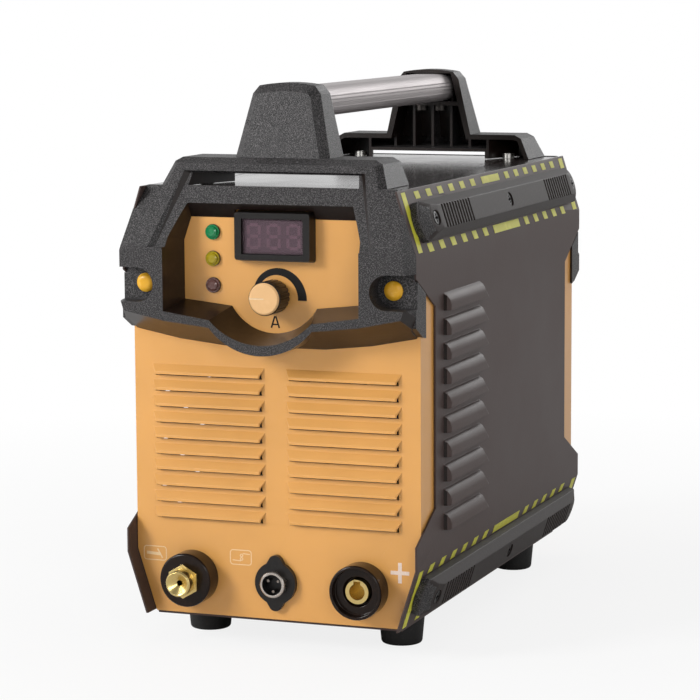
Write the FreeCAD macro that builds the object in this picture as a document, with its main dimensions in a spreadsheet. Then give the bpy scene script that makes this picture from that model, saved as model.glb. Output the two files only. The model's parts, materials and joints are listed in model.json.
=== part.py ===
"""Inverter power unit of a plasma cutter, built as separate pieces in millimetres.

X runs across the front, Y runs from the front to the rear, and Z points up.
The origin lies on the ground, in the middle of the four feet.
"""
import FreeCAD, Part
import math
import os
import Sketcher

SIZES = [
    # The folded case, measured over the cover and between the two end panels
    ("case_width", 172.0), ("case_length", 296.0), ("cover_low", 18.0), ("cover_top", 258.0),
    ("flap_rise", 34.5), ("flap_lean", 11.0), ("sheet_wall", 1.2), ("seat_gap", 0.3),
    ("cover_overhang", 11.2), ("panel_flange", 30.0),
    ("notch_depth", 32.2), ("notch_floor", 81.8), ("notch_roof", 193.5), ("notch_slant", 16.0),
    # Side louvres of the cover
    ("vent_count", 10.0), ("vent_pitch", 13.6), ("vent_start", 34.0), ("vent_length", 78.0),
    ("vent_height", 10.0), ("vent_stand", 4.0), ("vent_top", 199.6), ("vent_slant", 13.0),
    # Front louvres, two columns
    ("slat_count", 10.0), ("slat_pitch", 8.95), ("slat_top", 152.7), ("slat_centre", 40.0),
    ("slat_half", 34.2), ("slat_height", 6.4), ("slat_stand", 3.0), ("slat_taper", 3.2), ("slat_sill", 1.3),
    # Base tray and feet
    ("foot_height", 16.0), ("foot_width", 26.0), ("foot_taper", 1.4), ("foot_across", 58.5),
    ("foot_along", 106.0), ("foot_bore", 5.4), ("foot_screw", 5.0), ("foot_head", 9.0), ("foot_sink", 6.0),
    ("tray_flange", 14.0),
    # Moulded end frame, seen from the panel that it covers
    ("frame_reach", 22.0), ("frame_back", 35.0), ("frame_draft", 3.2), ("frame_skin", 3.0),
    ("crease_height", 226.0), ("crease_half", 86.0), ("hoop_top", 273.3), ("hoop_setback", 4.0),
    ("hoop_foot", 66.0), ("hoop_half", 61.0), ("hoop_corner", 4.2), ("hoop_bevel", 3.4),
    ("skirt_mid", 57.0), ("skirt_low", 182.3), ("skirt_step", 3.0), ("skirt_corner", 190.2),
    ("skirt_drop", 12.2), ("field_low_half", 66.0), ("field_top_half", 53.0), ("field_rim", 0.8),
    ("field_depth", 3.0), ("field_slope", 3.2), ("bulge_half", 30.0), ("bulge_drop", 14.4), ("tab_reach", 5.0),
    ("post_foot", 28.0), ("post_half", 20.0), ("post_shoulder", 308.0), ("post_top", 312.4),
    ("post_corner", 3.6), ("post_setback", 9.5), ("post_lean", 8.7), ("post_bevel", 4.5),
    ("crown_radius", 88.0),
    ("slot_half", 50.0), ("slot_rear_half", 37.2), ("slot_rise", 7.2), ("slot_rear_rise", 4.2),
    ("window_half", 57.2), ("window_top_half", 47.6), ("window_low", 190.4), ("window_shoulder", 232.0),
    ("window_visor", 270.5), ("view_half", 53.2), ("view_top_half", 48.8), ("view_low", 195.4),
    ("view_shoulder", 228.0), ("view_top", 240.6), ("view_bow_half", 25.0), ("view_bow_drop", 14.4),
    ("rib_wall", 1.6), ("rib_pitch", 12.4), ("rib_count", 3.0),
    ("cap_across", 72.6), ("cap_height", 204.7), ("cap_width", 9.4), ("cap_rise", 2.6),
    ("recess_width", 19.0), ("recess_depth", 13.0), ("bore_depth", 5.0), ("frame_bolt", 4.0),
    ("bolt_play", 0.6),
    # Handle bar
    ("bar_width", 30.0), ("bar_height", 17.0), ("bar_middle", 302.5), ("bar_wall", 2.0),
    ("bar_inset", 10.0), ("groove_width", 0.8), ("groove_depth", 0.7), ("groove_pitch", 2.0),
    ("shelf_wall", 2.5), ("bar_screw", 4.0), ("bar_screw_across", 6.2),
    # Rails on the flaps
    ("rail_length", 300.0), ("rail_height", 22.2), ("rail_stand", 9.0), ("rail_base", 4.0),
    ("rail_round", 7.0), ("rail_drop", 0.9),
    ("rail_bevel", 4.5), ("rail_end", 20.0), ("grip_count", 11.0), ("grip_pitch", 4.65), ("grip_width", 2.1),
    ("grip_depth", 1.8), ("grip_inset", 28.0), ("rail_screw", 4.0),
    ("rail_screw_head", 7.6), ("rail_screw_sink", 4.0), ("rail_screw_inset", 17.0), ("rail_hole", 6.6),
    # Deck screws
    ("deck_screw", 4.0), ("deck_head", 7.6), ("screw_head_rise", 3.2), ("deck_screw_across", 49.5),
    ("deck_screw_in", 24.0),
    # Meter and lamps
    ("meter_across", 1.5), ("meter_height", 231.4), ("meter_width", 46.0), ("meter_tall", 28.0),
    ("meter_stand", 7.0), ("meter_lip", 4.2), ("meter_cheek", 5.0), ("meter_corner", 1.6),
    ("meter_sink", 1.6), ("lens_wall", 1.0),
    ("meter_depth", 16.0),
    ("lamp_across", 36.0), ("lamp_top", 232.8), ("lamp_pitch", 14.7), ("lamp_width", 8.6),
    ("lamp_lens", 6.0), ("lamp_stand", 0.8), ("lamp_dome", 2.4), ("lamp_barrel", 6.8),
    # Setting knob
    ("knob_across", 0.1), ("knob_height", 198.4), ("knob_width", 18.6), ("knob_length", 14.4),
    ("knob_gap", 0.8),
    ("knob_flutes", 20.0), ("flute_width", 1.3), ("knob_cap_width", 17.6), ("knob_cap_rise", 1.0),
    ("pointer_width", 0.8),
    ("shaft_width", 6.0), ("shaft_play", 0.1), ("bush_width", 9.0), ("bush_stand", 4.6),
    ("pot_width", 22.0),
    ("pot_depth", 11.0), ("pot_nut", 12.0), ("pot_nut_wall", 2.0),
    # Front sockets
    ("socket_across", 50.5), ("socket_height", 38.6), ("ring_width", 30.4), ("ring_stand", 12.6),
    ("hex_width", 16.8), ("hex_stand", 15.4), ("nipple_width", 14.6), ("nipple_stand", 22.7),
    ("nipple_bore", 3.2),
    ("nipple_mouth", 12.6), ("fitting_tail", 12.0), ("fitting_tail_length", 18.0),
    ("collar_width", 14.6), ("collar_stand", 8.0), ("flange_width", 24.0), ("flange_tall", 31.6),
    ("flange_wall", 3.2), ("ear_foot", 9.2), ("ear_tip", 3.0), ("pin_width", 1.6), ("pin_stand", 6.0),
    ("power_stand", 12.6), ("power_bore", 26.4), ("cup_depth", 4.4), ("insert_width", 13.4),
    ("insert_bore", 9.0),
    ("insert_stand", 9.0), ("key_width", 4.0), ("insert_tail", 22.0),
    # Fan on the rear panel
    ("fan_width", 120.0), ("fan_depth", 25.4), ("fan_bore", 114.0), ("fan_height", 102.0),
    ("fan_pitch", 105.0),
    ("fan_screw", 4.0), ("hub_width", 40.0), ("blade_count", 7.0), ("blade_tip", 110.0),
    ("guard_wire", 2.0), ("guard_stand", 5.0), ("guard_rings", 5.0), ("guard_width", 112.0),
    ("axle_width", 4.0), ("axle_play", 0.1), ("stator_width", 36.0),
    # Rear fittings
    ("switch_across", 28.0), ("switch_height", 213.0), ("switch_width", 21.0), ("switch_tall", 27.0),
    ("switch_lip", 2.6), ("switch_stand", 1.8), ("switch_depth", 22.0), ("rocker_arm", 9.4),
    ("rocker_pin", 3.0), ("rocker_tilt", 12.0), ("rocker_gap", 0.6), ("gland_across", -28.0),
    ("gland_height", 216.0), ("gland_width", 20.0),
    ("gland_bore", 9.6), ("gland_stand", 22.0), ("inlet_across", 66.0), ("inlet_height", 34.0),
    ("inlet_barb", 8.6), ("inlet_bore", 5.4), ("inlet_stand", 25.0), ("earth_screw", 6.0),
    ("earth_across", -62.0), ("earth_height", 32.0),
    # Inner parts
    ("board_wall", 1.6), ("board_gap", 12.0), ("sink_width", 100.0), ("sink_length", 150.0),
    ("sink_height", 46.0), ("sink_plate", 6.0), ("fin_wall", 2.0), ("fin_pitch", 8.0), 
    ("core_width", 62.0), ("core_height", 54.0), ("core_depth", 24.0),
    ("choke_width", 58.0), ("choke_bore", 22.0), ("choke_height", 26.0), ("can_width", 35.0),
    ("can_height", 50.0),
    ("valve_width", 25.0), ("valve_length", 40.0), ("valve_bore", 8.0), ("valve_across", 59.0),
    ("valve_along", -80.0),
    ("pipe_width", 7.0),
]

doc = FreeCAD.newDocument("cutter_unit")
dims = doc.addObject("Spreadsheet::Sheet", "dims")
for row, (alias, size) in enumerate(SIZES, start=1):
    dims.set("A%d" % row, str(size))
    dims.setAlias("A%d" % row, alias)
doc.recompute()

pieces = []


def named(text):
    """Writes every sheet name in an expression with the sheet before it."""
    words = ""
    word = ""
    for sign in text + " ":
        if sign.isalnum() or sign == "_":
            word += sign
            continue
        words += ("dims." + word) if word in ALIASES else word
        words += sign
        word = ""
    return words.strip()


ALIASES = {alias for alias, size in SIZES}


def value(text):
    return float(dims.evalExpression(named(text)))


def bind(thing, field, text):
    thing.setExpression(field, named(text))


def new_body(label):
    body = doc.addObject("PartDesign::Body", label)
    body.Label = label
    body.AllowCompound = True
    return body


def keep(thing, label=None):
    """Puts a finished sub-part on the list of pieces to write."""
    if label:
        thing.Label = label
    pieces.append(thing)
    return thing


def seat(thing, across="0", along="0", up="0", turned=False):
    """Places a sub-part, turned half a revolution for the rear end."""
    if turned:
        thing.Placement = FreeCAD.Placement(FreeCAD.Vector(),
                                            FreeCAD.Rotation(FreeCAD.Vector(0, 0, 1), 180))
    bind(thing, "Placement.Base.x", across)
    bind(thing, "Placement.Base.y", along)
    bind(thing, "Placement.Base.z", up)
    return thing


def origin_of(body, role):
    for feature in body.Origin.OriginFeatures:
        if feature.Role == role:
            return feature
    raise ValueError(role)


def new_sketch(body, role, name, height, loops):
    """Draws closed loops; a loop is a list of corners or ("circle", u, v, width)."""
    sketch = body.newObject("Sketcher::SketchObject", name)
    sketch.AttachmentSupport = (origin_of(body, role), "")
    sketch.MapMode = "FlatFace"
    bind(sketch, "AttachmentOffset.Base.z", height)
    for loop in loops:
        if loop[0] == "circle":
            add_circle(sketch, *loop[1:])
        else:
            add_corners(sketch, loop)
    return sketch


def add_circle(sketch, u, v, width):
    centre = FreeCAD.Vector(value(u), value(v), 0)
    ring = sketch.addGeometry(Part.Circle(centre, FreeCAD.Vector(0, 0, 1), value(width) / 2), False)
    pin_point(sketch, ring, 3, u, v)
    at = sketch.addConstraint(Sketcher.Constraint("Diameter", ring, value(width)))
    bind(sketch, "Constraints[%d]" % at, width)


def pin_point(sketch, edge, end, u, v):
    at = sketch.addConstraint(Sketcher.Constraint("DistanceX", -1, 1, edge, end, value(u)))
    bind(sketch, "Constraints[%d]" % at, u)
    at = sketch.addConstraint(Sketcher.Constraint("DistanceY", -1, 1, edge, end, value(v)))
    bind(sketch, "Constraints[%d]" % at, v)


def add_corners(sketch, corners):
    """Joins corners by lines, or by an arc where a corner has a third entry, its bow."""
    first = sketch.GeometryCount
    points = [FreeCAD.Vector(value(c[0]), value(c[1]), 0) for c in corners]
    count = len(points)
    arcs = {}
    for i, corner in enumerate(corners):
        start = points[i]
        end = points[(i + 1) % count]
        if len(corner) == 3:
            chord = end - start
            side = FreeCAD.Vector(chord.y, -chord.x, 0).normalize()
            middle = (start + end) * 0.5 + side * value(corner[2])
            arc = Part.Arc(start, middle, end)
            edge = sketch.addGeometry(arc, False)
            turn = arc.toShape().Curve.Axis.z
            arcs[i] = (edge, turn, corner[2], chord)
        else:
            sketch.addGeometry(Part.LineSegment(start, end), False)
    ends = []
    for i in range(count):
        geometry = sketch.Geometry[first + i]
        start_is_one = i not in arcs or (geometry.StartPoint - points[i]).Length < 1e-6
        ends.append((1, 2) if start_is_one else (2, 1))
    for i in range(count):
        after = (i + 1) % count
        sketch.addConstraint(Sketcher.Constraint("Coincident", first + i, ends[i][1], first + after,
                                                 ends[after][0]))
    for i, corner in enumerate(corners):
        pin_point(sketch, first + i, ends[i][0], corner[0], corner[1])
    for i, (edge, turn, bow, chord) in arcs.items():
        after = corners[(i + 1) % count]
        span = "(((%s) - (%s))^2 + ((%s) - (%s))^2)" % (after[0], corners[i][0], after[1], corners[i][1])
        radius = "(%s / 4 + (%s)^2) / (2 * abs(%s))" % (span, bow, bow)
        at = sketch.addConstraint(Sketcher.Constraint("Radius", edge, value(radius)))
        bind(sketch, "Constraints[%d]" % at, radius)


def sketch_height(role, low, high, cutting):
    """The sketch lies where the pad or pocket starts; the XZ plane looks along -Y."""
    if role == "XZ_Plane":
        return "-(%s)" % (low if cutting else high)
    return high if cutting else low


def pad(body, role, name, loops, low, high):
    sketch = new_sketch(body, role, name + "_sketch", sketch_height(role, low, high, False), loops)
    feature = body.newObject("PartDesign::Pad", name)
    feature.Profile = sketch
    bind(feature, "Length", "(%s) - (%s)" % (high, low))
    sketch.Visibility = False
    return feature


def pocket(body, role, name, loops, low, high):
    sketch = new_sketch(body, role, name + "_sketch", sketch_height(role, low, high, True), loops)
    feature = body.newObject("PartDesign::Pocket", name)
    feature.Profile = sketch
    bind(feature, "Length", "(%s) - (%s)" % (high, low))
    return feature


def loft(body, kind, role, name, sections):
    """A ruled loft through loops at given heights; kind is Additive or Subtractive."""
    sketches = []
    for number, (height, loop) in enumerate(sections):
        at = "-(%s)" % height if role == "XZ_Plane" else height
        sketches.append(new_sketch(body, role, "%s_sketch%d" % (name, number), at, [loop]))
    feature = body.newObject("PartDesign::%sLoft" % kind, name)
    feature.Profile = sketches[0]
    feature.Sections = sketches[1:]
    feature.Ruled = True
    return feature


def turn(body, name, corners, role="YZ_Plane", axis="H_Axis", cutting=False):
    """Turns a half profile about the piece's own axis, Y for end fittings and Z for feet."""
    sketch = new_sketch(body, role, name + "_sketch", "0", [corners])
    feature = body.newObject("PartDesign::Groove" if cutting else "PartDesign::Revolution", name)
    feature.Profile = sketch
    feature.ReferenceAxis = (sketch, [axis])
    feature.Angle = 360
    return feature


def mirrored(body, name, originals, role="YZ_Plane"):
    feature = body.newObject("PartDesign::Mirrored", name)
    feature.Originals = originals
    feature.MirrorPlane = (origin_of(body, role), [""])
    body.Tip = feature
    return feature


def row(body, name, originals, axis, pitch, count, backward=False, in_set=False):
    feature = body.newObject("PartDesign::LinearPattern", name)
    if not in_set:
        feature.Originals = originals
    feature.Direction = (origin_of(body, axis), [""])
    feature.Reversed = backward
    bind(feature, "Length", "(%s) * ((%s) - 1)" % (pitch, count))
    bind(feature, "Occurrences", count)
    body.Tip = feature
    return feature


def around(body, name, originals, axis, count):
    feature = body.newObject("PartDesign::PolarPattern", name)
    feature.Originals = originals
    feature.Axis = (origin_of(body, axis), [""])
    feature.Angle = 360
    bind(feature, "Occurrences", count)
    body.Tip = feature
    return feature


def row_both_sides(body, name, originals, pitch, count):
    """Repeats features down a column and mirrors the column across the middle."""
    column = row(body, name + "_column", originals, "Z_Axis", pitch, count, backward=True, in_set=True)
    mirror = body.newObject("PartDesign::Mirrored", name + "_mirror")
    mirror.MirrorPlane = (origin_of(body, "YZ_Plane"), [""])
    feature = body.newObject("PartDesign::MultiTransform", name)
    feature.Originals = originals
    feature.Transformations = [column, mirror]
    body.Tip = feature
    return feature


def both(points):
    """Completes right-hand corners, listed from low to high, with their mirror image."""
    left = [("-(%s)" % point[0], point[1]) for point in reversed(points)]
    return list(points) + left


def box_loop(u_low, v_low, u_high, v_high):
    return [(u_low, v_low), (u_high, v_low), (u_high, v_high), (u_low, v_high)]


def middle_box(u, v, width, tall):
    return box_loop("%s - (%s) / 2" % (u, width), "%s - (%s) / 2" % (v, tall),
                    "%s + (%s) / 2" % (u, width), "%s + (%s) / 2" % (v, tall))


def mirror_copy(source, label, normal, height="0"):
    copy = doc.addObject("Part::Mirroring", label)
    copy.Source = source
    copy.Normal = FreeCAD.Vector(*normal)
    bind(copy, "Base.z", height)
    copy.Label = label
    return copy


LEAN = "(flap_lean / flap_rise)"
HALF = "(case_width / 2)"
END = "(case_length / 2)"
TRAY_TOP = "(foot_height + sheet_wall)"
PANEL_LOW = "(foot_height + sheet_wall + seat_gap)"
PANEL_INSET = "(sheet_wall + seat_gap)"
DECK_SEAT = "(cover_top + seat_gap)"
RAIL_SCREW = "(rail_length / 2 - rail_screw_inset)"
FLAP_LEVELS = ("(cover_low + flap_rise / 2 + rail_drop)", "(cover_top - flap_rise / 2 - rail_drop)")


def flap_shift(inset):
    return "((%s) * sqrt(1 + %s^2))" % (inset, LEAN)


def case_section(inset, low):
    """Right-hand corners of the folded case, drawn in from the cover's outside by inset."""
    shift = flap_shift(inset)
    knee = "((%s - (%s)) / %s)" % (shift, inset, LEAN)
    low_x = "%s - %s - (cover_low + flap_rise - (%s)) * %s" % (HALF, shift, low, LEAN)
    top_x = "%s - %s - (flap_rise - (%s)) * %s" % (HALF, shift, inset, LEAN)
    side = "%s - (%s)" % (HALF, inset)
    return [(low_x, low), (side, "cover_low + flap_rise + " + knee),
            (side, "cover_top - flap_rise - " + knee), (top_x, "cover_top - (%s)" % inset)]


# Cover: one sheet folded over the deck and both sides, open below


def vent_section(start, stop, height, wall, nose, tall):
    """One level of a side louvre: blunt in front, with a slanting rear end, and thinner by wall."""
    low = "(vent_top - vent_height)"
    top = "(%s + (vent_height - %s) * %s)" % (low, wall, tall)
    front = "(%s + %s + %s)" % (start, wall, nose)
    tail = "(%s - %s - (1 - %s) * vent_slant)" % (stop, wall, tall)
    return (height, [(front, low), (tail, low), ("%s - vent_slant * %s" % (tail, tall), top),
                     ("%s + 1.2 * (1 - %s)" % (front, tall), top)])


def make_cover():
    body = new_body("cover_shell")
    outside = both(case_section("0", "cover_low"))
    inside = both(case_section("sheet_wall", "cover_low"))
    reach = "(%s + cover_overhang)" % END
    pad(body, "XZ_Plane", "cover_fold", [outside + inside[::-1]], "-" + reach, reach)
    deck_half = inside[3][0]
    for name, low, high in (("deck_front_cut", "-%s - 1" % reach, "-%s + seat_gap" % END),
                            ("deck_rear_cut", "%s - seat_gap" % END, reach + " + 1")):
        pocket(body, "XY_Plane", name, [box_loop("-(%s)" % deck_half, low, deck_half, high)],
               "cover_top - 2 * sheet_wall", "cover_top + 1")
    for name, sign in (("notch_front", "-"), ("notch_rear", "")):
        mouth = "%s(%s + 1)" % (sign, reach)
        edge = "%s%s" % (sign, reach)
        root = "%s(%s - notch_depth)" % (sign, reach)
        corners = [(mouth, "notch_floor - notch_slant"), (edge, "notch_floor - notch_slant"),
                   (root, "notch_floor"),
                   (root, "notch_roof"), (edge, "notch_roof + notch_slant + 2"),
                   (mouth, "notch_roof + notch_slant + 2")]
        pocket(body, "YZ_Plane", name, [corners], "-%s - 1" % HALF, HALF + " + 1")
    start = "(-%s + vent_start)" % END
    stop = "(%s + vent_length)" % start
    levels = [("0", "0", "1"), ("0.55", "0.5", "0.84"), ("0.85", "1.5", "0.6"), ("1", "2.8", "0.4")]
    shell = loft(body, "Additive", "YZ_Plane", "vent_shell", [
        vent_section(start, stop, "%s - sheet_wall / 2 + (vent_stand + sheet_wall / 2) * %s" % (HALF, share),
                     "0", nose, tall)
        for share, nose, tall in levels])
    hollow = loft(body, "Subtractive", "YZ_Plane", "vent_hollow", [
        vent_section(start, stop, "%s - sheet_wall - 0.1 + (vent_stand - 0.8) * %s" % (HALF, share),
                     "sheet_wall", nose, tall)
        for share, nose, tall in levels])
    row_both_sides(body, "vents", [shell, hollow], "vent_pitch", "vent_count")
    for name, sign in (("deck_holes_front", "-"), ("deck_holes_rear", "")):
        along = "%s(%s - deck_screw_in)" % (sign, END)
        rings = [("circle", side + "deck_screw_across", along,
                  "deck_screw + bolt_play") for side in ("", "-")]
        pocket(body, "XY_Plane", name, rings, "cover_top - 3 * sheet_wall", "cover_top + 1")
    rings = [("circle", along, level, "rail_hole") for along in ("0", "-" + RAIL_SCREW,
                                                                 RAIL_SCREW) for level in FLAP_LEVELS]
    pocket(body, "YZ_Plane", "rail_holes", rings, "-%s - 1" % HALF, HALF + " + 1")
    return keep(body)


# End panels: two folded pans, the front one with louvres and fittings


def make_panel(label, turned):
    body = new_body(label)
    outside = both(case_section(PANEL_INSET, PANEL_LOW))
    inside = both(case_section("2 * sheet_wall + seat_gap", PANEL_LOW + " + sheet_wall"))
    pad(body, "XZ_Plane", "sheet", [outside], "0", "sheet_wall")
    pad(body, "XZ_Plane", "flange", [outside, inside], "0", "panel_flange")
    rings = [("circle", side + "deck_screw_across", "deck_screw_in",
              "deck_screw + bolt_play") for side in ("", "-")]
    pocket(body, "XY_Plane", "deck_holes", rings, "cover_top - 5 * sheet_wall", "cover_top + 1")
    rings = [("circle", side + "cap_across", "cap_height", "frame_bolt + bolt_play") for side in ("", "-")]
    pocket(body, "XZ_Plane", "frame_holes", rings, "-1", "2 * sheet_wall")
    rings = [("circle", "%s - %s" % (END, RAIL_SCREW), level, "rail_hole") for level in FLAP_LEVELS]
    pocket(body, "YZ_Plane", "rail_holes", rings, "-%s - 1" % HALF, HALF + " + 1")
    sign = "" if turned else "-"
    seat(body, along=sign + END, turned=turned)
    return body


def make_front_panel():
    body = make_panel("front_panel", False)
    low = "slat_top"
    shell = loft(body, "Additive", "XZ_Plane", "slat_shell", [
        ("sheet_wall / 2", middle_span("slat_centre", "slat_half", low, "slat_height")),
        ("-slat_stand", middle_span("slat_centre", "slat_half - slat_taper", low, "slat_height / 4"))])
    hollow = loft(body, "Subtractive", "XZ_Plane", "slat_hollow", [
        ("sheet_wall + 0.1", middle_span("slat_centre", "slat_half - sheet_wall", low + " - slat_sill",
                                         "slat_height - sheet_wall + slat_sill")),
        ("0.9 - slat_stand", middle_span("slat_centre", "slat_half - slat_taper - 0.8", low,
                                         "slat_height / 4 - 0.6"))])
    ends = loft(body, "Subtractive", "XZ_Plane", "slat_ends", [
        ("-0.15", middle_span("slat_centre", "slat_half + 1", low, "slat_height - 1.9")),
        ("0.7 - slat_stand", middle_span("slat_centre", "slat_half + 1", low, "slat_height / 4 - 0.5"))])
    row_both_sides(body, "slats", [shell, hollow, ends], "slat_pitch", "slat_count")
    holes = [middle_box("meter_across", "meter_height", "meter_width - 2 * meter_cheek + seat_gap",
                        "meter_tall - 2 * meter_lip + seat_gap"),
             ("circle", "knob_across", "knob_height", "bush_width + seat_gap"),
             ("circle", "-socket_across", "socket_height", "fitting_tail + seat_gap"),
             ("circle", "0", "socket_height", "collar_width - 1 + seat_gap"),
             ("circle", "socket_across", "socket_height", "insert_width + 4 + seat_gap")]
    for number in range(3):
        height = "lamp_top - %d * lamp_pitch" % number
        holes.append(("circle", "-lamp_across", height, "lamp_barrel + seat_gap"))
    pocket(body, "XZ_Plane", "fitting_holes", holes, "-1", "2 * sheet_wall")
    return keep(body)


def middle_span(middle, half, low, tall):
    return box_loop("%s - (%s)" % (middle, half), low, "%s + (%s)" % (middle, half),
                    "%s + %s" % (low, tall))


def make_rear_panel():
    body = make_panel("rear_panel", True)
    holes = [("circle", "0", "fan_height", "fan_bore - 2"),
             middle_box("switch_across", "switch_height", "switch_width - 2 * switch_lip + seat_gap",
                        "switch_tall - 2 * switch_lip + seat_gap"),
             ("circle", "gland_across", "gland_height", "gland_width * 0.8 + seat_gap"),
             ("circle", "inlet_across", "inlet_height", "inlet_barb + 2 + seat_gap"),
             ("circle", "earth_across", "earth_height", "earth_screw + seat_gap")]
    for side in ("-", ""):
        for level in ("-", "+"):
            holes.append(("circle", side + "fan_pitch / 2", "fan_height %s fan_pitch / 2" % level,
                          "fan_screw + bolt_play"))
    pocket(body, "XZ_Plane", "fitting_holes", holes, "-1", "2 * sheet_wall")
    return keep(body)


# Moulded end frame: nose, hoop over the deck, handle post, slot and ribbed back


def frame_nose(body):
    reach = "(-frame_reach)"
    step = "(-cover_overhang)"
    share = "(1 - cover_overhang / frame_reach)"
    slide = "(skirt_drop * %s)" % share
    half = "(crease_half - frame_draft)"
    top_front = "%s - (%s - crease_height + 2) * %s - 0.4" % (half, DECK_SEAT, LEAN)
    knee = "(cover_top - flap_rise)"
    front = [("bulge_half", "skirt_low"), ("skirt_mid", "skirt_low + skirt_step"),
             (half + " - 2", "skirt_corner"),
             (half, "skirt_corner + 6.4"), (half, knee), (top_front, DECK_SEAT)]
    side = "%s" % HALF
    top_side = "%s - (%s - %s) * %s" % (side, DECK_SEAT, knee, LEAN)
    behind = [("bulge_half", "skirt_low - " + slide), ("skirt_mid", "skirt_low + skirt_step - " + slide),
              (side + " - 2", "skirt_corner - " + slide), (side, "skirt_corner + 6.4 - " + slide),
              (side, knee), (top_side, DECK_SEAT)]
    loft(body, "Additive", "XZ_Plane", "nose", [(reach, both(front)), (step, both(behind))])
    inset = PANEL_INSET
    inner = case_section(inset, PANEL_LOW)
    top_inner = "%s - %s - (%s - %s) * %s" % (HALF, flap_shift(inset), DECK_SEAT, knee, LEAN)
    near = [("bulge_half", "skirt_low - " + slide), ("skirt_mid", "skirt_low + skirt_step - " + slide),
            (inner[1][0] + " - 2", "skirt_corner - " + slide),
            (inner[1][0], "skirt_corner + 6.4 - " + slide),
            (inner[1][0], inner[2][1]), (top_inner, DECK_SEAT)]
    far = [("bulge_half", "skirt_low - skirt_drop"), ("skirt_mid", "skirt_low + skirt_step - skirt_drop"),
           (inner[1][0] + " - 2", "skirt_corner - skirt_drop"),
           (inner[1][0], "skirt_corner + 6.4 - skirt_drop"),
           (inner[1][0], inner[2][1]), (top_inner, DECK_SEAT)]
    loft(body, "Additive", "XZ_Plane", "collar", [(step, both(near)), ("-seat_gap", both(far))])


def frame_tabs(body):
    """Side tabs that fill the front of the cover's notch."""
    roof = "(notch_roof + notch_slant + 2)"
    fall = "((notch_slant + 2) / notch_depth)"
    gap = "(seat_gap + 0.2)"
    low = "skirt_corner - skirt_drop"
    root = [("-cover_overhang - 0.4", low + " + 7"), ("-seat_gap", low + " + 1"),
            ("-seat_gap", "%s - %s - (cover_overhang - seat_gap) * %s" % (roof, gap, fall)),
            ("-cover_overhang", "%s - %s" % (roof, gap)),
            ("-cover_overhang - 0.4", "%s - %s" % (roof, gap))]
    tip = [("-seat_gap - 1", low + " + 1.5"), ("tab_reach", low),
           ("tab_reach", "%s - %s - (cover_overhang + tab_reach) * %s" % (roof, gap, fall)),
           ("-seat_gap - 1", "%s - %s - (cover_overhang - seat_gap - 1) * %s" % (roof, gap, fall))]
    root_tab = pad(body, "YZ_Plane", "tab_root", [root], HALF + " - 4", HALF)
    tip_tab = pad(body, "YZ_Plane", "tab_tip", [tip], "%s - %s + seat_gap" % (HALF, PANEL_INSET), HALF)
    mirrored(body, "tabs", [root_tab, tip_tab])


def make_frame():
    body = new_body("front_frame")
    frame_nose(body)
    frame_tabs(body)
    hoop = [("hoop_foot", DECK_SEAT), ("hoop_half", "hoop_top - 2.3"),
            ("hoop_half - hoop_corner", "hoop_top")]
    pad(body, "XZ_Plane", "hoop", [both(hoop)], "-frame_reach", "frame_back")
    crown = "(crown_radius - sqrt(crown_radius^2 - (post_half - post_corner)^2))"
    post = [("post_foot", "hoop_top - 0.8"), ("post_half", "post_shoulder"),
            ("post_half - post_corner", "post_top", crown),
            ("-(post_half - post_corner)", "post_top"), ("-post_half", "post_shoulder"),
            ("-post_foot", "hoop_top - 0.8")]
    pad(body, "XZ_Plane", "post", [post], "post_setback - 4", "frame_back")
    front = [("-frame_reach - 8", "crease_height"), ("-frame_reach", "crease_height"),
             ("hoop_setback", "hoop_top"),
             ("post_setback", "hoop_top"), ("post_setback + post_lean", "post_top + 6"),
             ("-frame_reach - 8", "post_top + 6")]
    lean = pocket(body, "YZ_Plane", "lean", [front], "-crease_half - 9", "crease_half + 9")
    doc.recompute()
    bevel_frame(body, lean)
    lean_field(body)
    bulge_edge = [("bulge_half", "skirt_low + 2"), ("-bulge_half", "skirt_low + 2"),
                  ("-bulge_half", "skirt_low", "bulge_drop"),
                  ("bulge_half", "skirt_low")]
    pad(body, "XZ_Plane", "bulge", [bulge_edge], "-frame_reach", "-seat_gap")
    frame_window(body)
    frame_recesses(body)
    frame_hollows(body)
    frame_ribs(body)
    seat(body, along="-" + END)
    return keep(body)


def lean_field(body):
    """Sinks the leaning face between the legs of the hoop, which stay as raised ribs."""
    slope = "((frame_reach + hoop_setback) / (hoop_top - crease_height))"
    sections = []
    for height, half in (("crease_height - 0.5", "field_low_half"),
                         (DECK_SEAT + " + slot_rise + field_rim", "field_top_half")):
        face = "((%s - crease_height) * %s - frame_reach)" % (height, slope)
        floor = face + " + field_depth"
        sections.append((height, both([(half, face + " - 4"), (half, face),
                                       (half + " - field_slope", floor)])))
    loft(body, "Subtractive", "XY_Plane", "field", sections)


def bevel_frame(body, base):
    """Bevels the front edges of the post, and then those of the hoop."""
    for size, faces, low in (("post_bevel", on_post_face, "hoop_top"),
                             ("hoop_bevel", on_lean_face, "cover_top + 8")):
        edges = []
        for number, edge in enumerate(base.Shape.Edges, start=1):
            ends = [vertex.Point for vertex in edge.Vertexes]
            if len(ends) == 2 and all(faces(p) for p in ends) and max(p.z for p in ends) > value(low) + 1:
                edges.append("Edge%d" % number)
        feature = body.newObject("PartDesign::Chamfer", size + "_edges")
        feature.Base = (base, edges)
        bind(feature, "Size", size)
        doc.recompute()
        base = feature


def on_post_face(point):
    slope = value("post_lean / (post_top + 6 - hoop_top)")
    face = value("post_setback") + (point.z - value("hoop_top")) * slope
    return point.z > value("hoop_top") - 0.01 and abs(point.y - face) < 0.05


def on_lean_face(point):
    slope = value("(frame_reach + hoop_setback) / (hoop_top - crease_height)")
    face = (point.z - value("crease_height")) * slope - value("frame_reach")
    return value("crease_height") - 0.01 < point.z < value("hoop_top") + 0.01 and abs(point.y - face) < 0.05


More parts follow.
